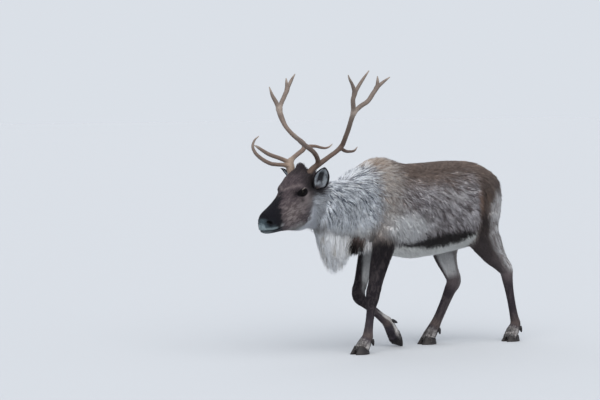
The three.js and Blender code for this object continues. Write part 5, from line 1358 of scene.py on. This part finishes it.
A, B, q = beard_locks(5000)
part_ = np.where(RNG.random(len(A)) < 0.68, RNG.uniform(0.97, 1.12, len(A)), RNG.uniform(0.50, 0.97, len(A)))
E = A + (B - A) * part_[:, None]
Dv = E - A
L = np.linalg.norm(Dv, axis=1)
keep = L > 0.03
A, Dv, L, q, E = A[keep], Dv[keep], L[keep], q[keep], E[keep]
D = unit(Dv)
out = np.stack([0.25 * np.sign(A[:, 0] - 0.62), q + 0.001, 0 * q], 1)
N = unit(out - D * (out * D).sum(1)[:, None])
tone = fbm(np.stack([E[:, 0] * 70, E[:, 1] * 70, E[:, 2] * 9], 1), 8)
C = mixc(np.tile(rgb(238, 240, 243), (len(A), 1)), rgb(204, 199, 192), sstep(0.50, 0.72, tone))
# upper locks of the beard greyer: painted shade under the overhang of the mane
C = mixc(C, rgb(150, 152, 156), 0.80 * sstep(0.60, 0.70, E[:, 2]))
C = mixc(C, rgb(120, 110, 102), 0.7 * np.exp(-((E[:, 0] - 0.545) / 0.03) ** 2 - ((E[:, 2] - 0.64) / 0.03) ** 2))
C = mixc(C, rgb(112, 104, 100), 0.6 * np.exp(-((A[:, 0] - 0.745) / 0.03) ** 2 - ((E[:, 2] - 0.69) / 0.03) ** 2))
# root_dark 0.42 darkens the roots at the top of the beard: painted shade under the mane
tufts('coat_beard', A, D, N, L, 0.0040 * RNG.uniform(0.7, 1.25, len(A)), 0.03, C, chart(A[:, 0], q), rings=5, flat=1.0, bend=0.045, root_dark=0.42, tip_light=1.05, thick=0.35, sink=0.0)

# brisket: a short hanging tuft between the forelegs, dark in front
pick = (TRI_MID[:, 2] < 0.670) & (TRI_MID[:, 0] > 0.400) & (TRI_MID[:, 0] < 0.590) & (np.abs(TRI_MID[:, 1]) < 0.100) & (DOM('trunk') | DOM('neck'))
P, N, W = roots(78000.0, pick)
f, l, z = P.T
D = unit(np.stack([0.16 + 5.0 * np.clip(f - 0.480, 0, 0.06), -0.6 * l, np.full(len(P), -1.0)], 1) + RNG.normal(0, 0.13, (len(P), 3)))
low = 0.566 - 0.024 * np.exp(-((f - 0.512) / 0.030) ** 2 - ((l - 0.04) / 0.07) ** 2) - 0.016 * np.exp(-((f - 0.455) / 0.030) ** 2 - ((l - 0.04) / 0.07) ** 2)
L = np.clip(z - low, 0.030, 0.110) * RNG.uniform(0.62, 1.12, len(P))
C = mixc(np.tile(rgb(222, 222, 224), (len(P), 1)), rgb(156, 150, 149), sstep(0.45, 0.62, fbm(P * 70, 19)))
T_ = unit(N - D * (N * D).sum(1)[:, None])
U = chart(f, l)
vs = 0.0034 * RNG.uniform(0.7, 1.3, len(P))
dk = sstep(0.468, 0.500, f + 0.03 * (RNG.random(len(P)) - 0.5)) * sstep(0.575, 0.550, f)
tip = dk > 0.55
C = mixc(C, rgb(120, 111, 106), np.clip(dk * 1.4, 0, 1) * ~tip)
C[tip] = rgb(30, 25, 24)
for nm_, q_, rd_, tl_ in (('coat_brisket', ~tip, 0.80, 1.06), ('coat_brisket_tip', tip, 17.0, -4.0)):
    Cq = C[q_]
    tufts(nm_, (P + N * 0.018)[q_], D[q_], T_[q_], L[q_], vs[q_], 0.10, Cq, U[q_], rings=4, flat=1.0, root_dark=rd_, tip_light=tl_, sink=0.012)

# legs: upper and lower
for key, nm in (('fore_L', 'foreleg_left'), ('fore_R', 'foreleg_right'), ('hind_L', 'hindleg_left'), ('hind_R', 'hindleg_right')):
    for part in ('upper', 'lower'):
        low_ = part == 'lower'
        cutz = 0.40 if key[0] == 'h' else 0.34
        pick = DOM(key) & ((TRI_MID[:, 2] < cutz) == low_)
        P, N, W = roots(115000.0 if low_ else 50000.0, pick)
        D = lie(P, N, W)
        D = turned(D, N, 10 * clump(P, D, 20, 51) + RNG.normal(0, 6, len(P)))
        h = depth(P, W)
        s, near, way = on_line(P, LEG_JOINTS[key])
        foot = sstep(-0.05, 0.5, s - (4 if key[0] == 'h' else 3))
        rearward = sstep(0.0, 0.6, -((P - near) * np.cross(np.array([0, 1.0, 0]), way)).sum(1) / 0.03) * 0
        L = (0.008 + 2.2 * h) * (1 + 1.4 * foot) * RNG.uniform(0.8, 1.2, len(P))
        L = np.minimum(L, np.maximum((P[:, 2] - 0.003) / np.maximum(-D[:, 2], 0.05), 0.002))
        rise = np.clip((h + 0.0006) / (0.62 * L), 0, 0.6) * (0.6 if low_ else 1.0)
        if not low_: D = gather(P, D, N, L, 14, 0.5)
        C = paint(P + D * (L * 0.5)[:, None], N, W)
        ang = np.arctan2((P - near)[:, 1], (P - near) @ np.array([1.0, 0, 0]))
        wd = (0.0018 + 0.0010 * foot) if low_ else (0.0022 + 0.06 * h)
        tufts('coat_%s_%s' % (nm, part), P, D, N, L, wd * RNG.uniform(0.75, 1.25, len(P)), rise, C, chart(s, ang), rings=1 if low_ else 2, flat=0.8, bend=0.06, root_dark=0.75, tip_light=1.08, sink=0.0012)

# tail
P, N, W = roots(60000.0, DOM('tail'))
D = lie(P, N, W)
h = depth(P, W)
L = 0.050 * RNG.uniform(0.7, 1.2, len(P))
tufts('coat_tail', P, turned(D, N, RNG.normal(0, 8, len(P))), N, L, 0.004, 0.40, paint(P + D * (L * 0.5)[:, None], N, W), chart(P[:, 2], around(P)))

# head: short, longer behind the cheeks and on the poll
eye_d = np.hypot(mid_head[:, 0] - EYE_AT[0], (mid_head[:, 2] - EYE_AT[2]) * 1.3) + 9 * (np.abs(mid_head[:, 1]) < 0.03)
nos_d = np.hypot(mid_head[:, 0] - 0.411, mid_head[:, 2] + 0.107) + 9 * (np.abs(mid_head[:, 1]) < 0.016)
pick = DOM('head') & (eye_d > 0.0215) & (nos_d > 0.014) & (mid_head[:, 0] < 0.437)
x = mid_head[:, 0]
P, N, W = roots(185000.0 * (1 - 0.5 * sstep(0.06, 0.0, x)), pick)
H = body_to_head(P)
x, hy, hz = H.T
D = lie(P, N, W)
D = turned(D, N, 12 * clump(P, D, 30, 61) + RNG.normal(0, 7, len(P)))
h = depth(P, W)
back = sstep(0.16, 0.03, x)
L = (0.0080 + 0.006 * back + 2.0 * (h - 0.0035)) * (1 - 0.45 * sstep(0.30, 0.41, x)) * RNG.uniform(0.8, 1.2, len(P))
ed = np.hypot(x - EYE_AT[0], hz - EYE_AT[2])
near_eye = sstep(0.045, 0.020, ed)
L = L * (1 - 0.5 * near_eye)
rise = (0.30 + 0.22 * back) * (1 - 0.5 * near_eye) * (1 - 0.35 * sstep(0.28, 0.40, x)) * RNG.uniform(0.7, 1.2, len(P))
ruff = sstep(0.125, 0.030, x - 0.25 * np.minimum(hz + 0.16, 0)) * sstep(-0.055, -0.100, hz)
L = L * (1 + 3.0 * ruff)
rise = rise * (1 + 0.35 * ruff)
wd = (0.00125 + 0.0011 * back + 0.0014 * ruff) * (1 - 0.25 * sstep(0.3, 0.42, x))
crown = sstep(0.040, 0.020, np.hypot(x - 0.036, hz - 0.070)) * sstep(0.03, 0.015, np.abs(hy))
roots_at = np.minimum(np.linalg.norm(H - np.array(ANTLER['L']['beam'][0][:3]), axis=1), np.linalg.norm(H - np.array(ANTLER['R']['beam'][0][:3]), axis=1))
ring = sstep(0.040, 0.022, roots_at)
L = L * (1 - 0.25 * crown + 0.9 * ring)
D = unit(D + N * (0.10 * crown + 0.45 * ring)[:, None])
under = sstep(0.29, 0.17, x) * sstep(-0.205, -0.240, hz) * sstep(0.060, 0.035, np.abs(hy))                # white hair hangs from the jaw
L = np.minimum(L * (1 + 1.6 * under), 0.050)
D = unit(D - np.array([0, 0, 0.75]) * under[:, None])
m = ruff > 0.30
D[m] = gather(P[m], turned(D[m], N[m], 18 * clump(P[m], D[m], 17, 41)), N[m], L[m], 30, 0.7)
L[m] *= 1.15
C = paint(P + D * (L * 0.5)[:, None], N, W)
vs = RNG.uniform(0.75, 1.25, len(P)) * (1 + 0.5 * m)
rise = rise * np.where(m, RNG.uniform(0.75, 1.35, len(P)), 1)
U = chart(x, np.arctan2(hy, hz + 0.08))
for nm_, q_, mat_, rd_, vr_ in (('coat_head', ~m, 'coat_face', 0.84, 0.06), ('coat_ruff', m, 'coat_mane', 0.60, 0.22)):
    tufts(nm_, P[q_], D[q_], N[q_], L[q_], (wd * vs)[q_], rise[q_], C[q_], U[q_], rings=1, flat=0.9, bend=0.05, root_dark=rd_, tip_light=1.08, sink=0.0006, vary=vr_)

# ears
for side in ('left', 'right'):
    n = 4200
    s_, v_ = RNG.uniform(-0.10, 0.97, n), RNG.uniform(-1, 1, n)
    inner = (RNG.random(n) < 0.42)
    edge = np.abs(v_) > 0.86
    lay = np.where(inner, 0.82, 0.10)
    e = 0.01
    P = ear_point(side, s_, v_ * 0.95, lay, 0.97)
    Pa = ear_point(side, s_ + e, v_ * 0.95, lay, 0.97)
    Pb = ear_point(side, s_, v_ * 0.95 + e, lay, 0.97)
    D, T2 = unit(Pa - P), unit(Pb - P)
    N = unit(np.cross(D, T2))
    core = ear_point(side, s_, v_ * 0.95, lay + np.where(inner, -0.3, 0.3), 0.97) - P
    N = np.where(((N * core).sum(1) > 0)[:, None], -N, N)
    L = np.where(inner, 0.020, 0.013) * RNG.uniform(0.7, 1.25, n) * (1 - 0.35 * s_)
    L = np.where(edge, 0.010, L)
    L = L * (1 + 0.8 * sstep(0.14, 0.0, s_) * ~inner)
    toward = np.where(inner & ~edge, -np.sign(v_) * 14.0, 0.0) * 0
    D = turned(D, N, toward + RNG.normal(0, 9, n))
    C = paint_ear(s_, v_, inner * 1.0, fbm(P * 90, 9))
    tufts('coat_ear_' + side, P, D, N, L, 0.0019 * RNG.uniform(0.7, 1.3, n), np.where(inner, 0.30, 0.16), C, chart(s_, v_ + 2.4 * inner), rings=2, flat=0.9, bend=0.08, root_dark=0.78, tip_light=1.06, sink=0.0006)
print('coat tris', COAT_TRIS[0])

# ------------------------------------------------------------------ materials
def material(name, rough=0.8, spec=0.25, stretch=None, fine=600.0, dark=0.80, light=1.15, bump=0.0015, strength=0.5, coat=0.0, sheen=0.0, attr='Col', extra=None):
    m = bpy.data.materials.new(name)
    m.use_nodes = True
    nt = m.node_tree
    N, L = nt.nodes, nt.links
    b = N['Principled BSDF']
    b.inputs['Roughness'].default_value = rough
    b.inputs['Specular IOR Level'].default_value = spec
    b.inputs['Coat Weight'].default_value = coat
    b.inputs['Coat Roughness'].default_value = 0.04
    b.inputs['Sheen Weight'].default_value = sheen
    b.inputs['Sheen Roughness'].default_value = 0.5
    col = N.new('ShaderNodeAttribute'); col.attribute_name = attr
    noi = N.new('ShaderNodeTexNoise')
    noi.inputs['Scale'].default_value = fine
    noi.inputs['Detail'].default_value = 4.0
    noi.inputs['Roughness'].default_value = 0.6
    if stretch:
        src = N.new('ShaderNodeAttribute'); src.attribute_name = stretch
        L.new(src.outputs['Vector'], noi.inputs['Vector'])
    else:
        src = N.new('ShaderNodeTexCoord')
        L.new(src.outputs['Object'], noi.inputs['Vector'])
    mr = N.new('ShaderNodeMapRange')
    mr.inputs['From Min'].default_value, mr.inputs['From Max'].default_value = 0.3, 0.7
    mr.inputs['To Min'].default_value, mr.inputs['To Max'].default_value = dark, light
    L.new(noi.outputs['Fac'], mr.inputs['Value'])
    mul = N.new('ShaderNodeVectorMath'); mul.operation = 'SCALE'
    L.new(col.outputs['Color'], mul.inputs[0])
    L.new(mr.outputs['Result'], mul.inputs['Scale'])
    L.new(mul.outputs['Vector'], b.inputs['Base Color'])
    if bump:
        bp = N.new('ShaderNodeBump')
        bp.inputs['Distance'].default_value = bump
        bp.inputs['Strength'].default_value = strength
        L.new(noi.outputs['Fac'], bp.inputs['Height'])
        L.new(bp.outputs['Normal'], b.inputs['Normal'])
    rr = N.new('ShaderNodeMapRange')
    rr.inputs['From Min'].default_value, rr.inputs['From Max'].default_value = 0.3, 0.7
    rr.inputs['To Min'].default_value, rr.inputs['To Max'].default_value = max(rough - 0.06, 0.02), min(rough + 0.06, 1)
    L.new(noi.outputs['Fac'], rr.inputs['Value'])
    L.new(rr.outputs['Result'], b.inputs['Roughness'])
    return m


M_SKIN = material('hide', 0.88, 0.07, 'Flow', 520, 0.62, 1.22, 0.0016, 0.8, sheen=0.02)
M_COAT = material('coat', 0.78, 0.09, None, 900, 0.86, 1.10, 0.0006, 0.3, sheen=0.03)
M_ANTLER = material('antler', 0.55, 0.35, None, 170, 0.78, 1.16, 0.0016, 0.7)
M_HOOF = material('hoof', 0.50, 0.30, None, 260, 0.75, 1.25, 0.0010, 0.5)
M_EYE = material('eye', 0.10, 0.07, None, 500, 0.85, 1.15, 0.0, 0.0)
for ob in [o for o in bpy.data.objects if 'of_kind' in o]:
    k = ob['of_kind']
    ob.data.materials.append({'eye': M_EYE, 'antler': M_ANTLER, 'hoof': M_HOOF, 'coat': M_COAT}[k])
    del ob['of_kind']
    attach(ob, 'root')
for side in ('left', 'right'):
    ball = bpy.data.objects['eyeball_' + side]
    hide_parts('eye_' + side)
skin.data.materials.append(M_SKIN)
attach(skin, 'root')
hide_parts(*[n for n in frame['nodes'] if n in ('trunk', 'neck', 'beard', 'tail', 'head', 'ear_left', 'ear_right') or n.endswith(('_upper', '_lower'))])

# ------------------------------------------------------------------ floor, light and camera
bpy.ops.mesh.primitive_plane_add(size=120, location=(0, 0, -0.0005))
floor = bpy.context.object
floor.name = 'floor'
fm = bpy.data.materials.new('floor')
fm.use_nodes = True
fb = fm.node_tree.nodes['Principled BSDF']
fb.inputs['Base Color'].default_value = (0.484, 0.501, 0.526, 1)
fb.inputs['Roughness'].default_value = 0.9
fb.inputs['Specular IOR Level'].default_value = 0.1
floor.data.materials.append(fm)
floor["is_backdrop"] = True

world = bpy.data.worlds.new('studio')
bpy.context.scene.world = world
world.use_nodes = True
bg = world.node_tree.nodes['Background']
bg.inputs['Color'].default_value = (0.88, 0.93, 1.0, 1)
bg.inputs['Strength'].default_value = 0.80


def sun(name, aim, power, angle, colour):
    d = bpy.data.lights.new(name, 'SUN')
    d.energy, d.angle, d.color = power, math.radians(angle), colour
    o = bpy.data.objects.new(name, d)
    bpy.context.scene.collection.objects.link(o)
    o.rotation_euler = Vector(aim).to_track_quat('-Z', 'Y').to_euler()
    return o


sun('key', (0.45, 0.75, -1.00), 2.65, 70, (1.0, 0.975, 0.94))
sun('rim', (-0.6, -0.8, -0.7), 0.5, 60, (0.92, 0.96, 1.0))

cam = bpy.data.objects.new('camera', bpy.data.cameras.new('camera'))
bpy.context.scene.collection.objects.link(cam)
cam.data.lens, cam.data.sensor_width = 150, 36
cam.data.clip_start, cam.data.clip_end = 0.5, 400
cam.location = (-8.99457, -10.36897, 1.49)
cam.rotation_euler = (math.radians(87.229), 0, math.radians(-39))
bpy.context.scene.camera = cam
bpy.context.scene.view_settings.view_transform = 'Standard'
bpy.context.scene.view_settings.look = 'None'

low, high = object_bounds()
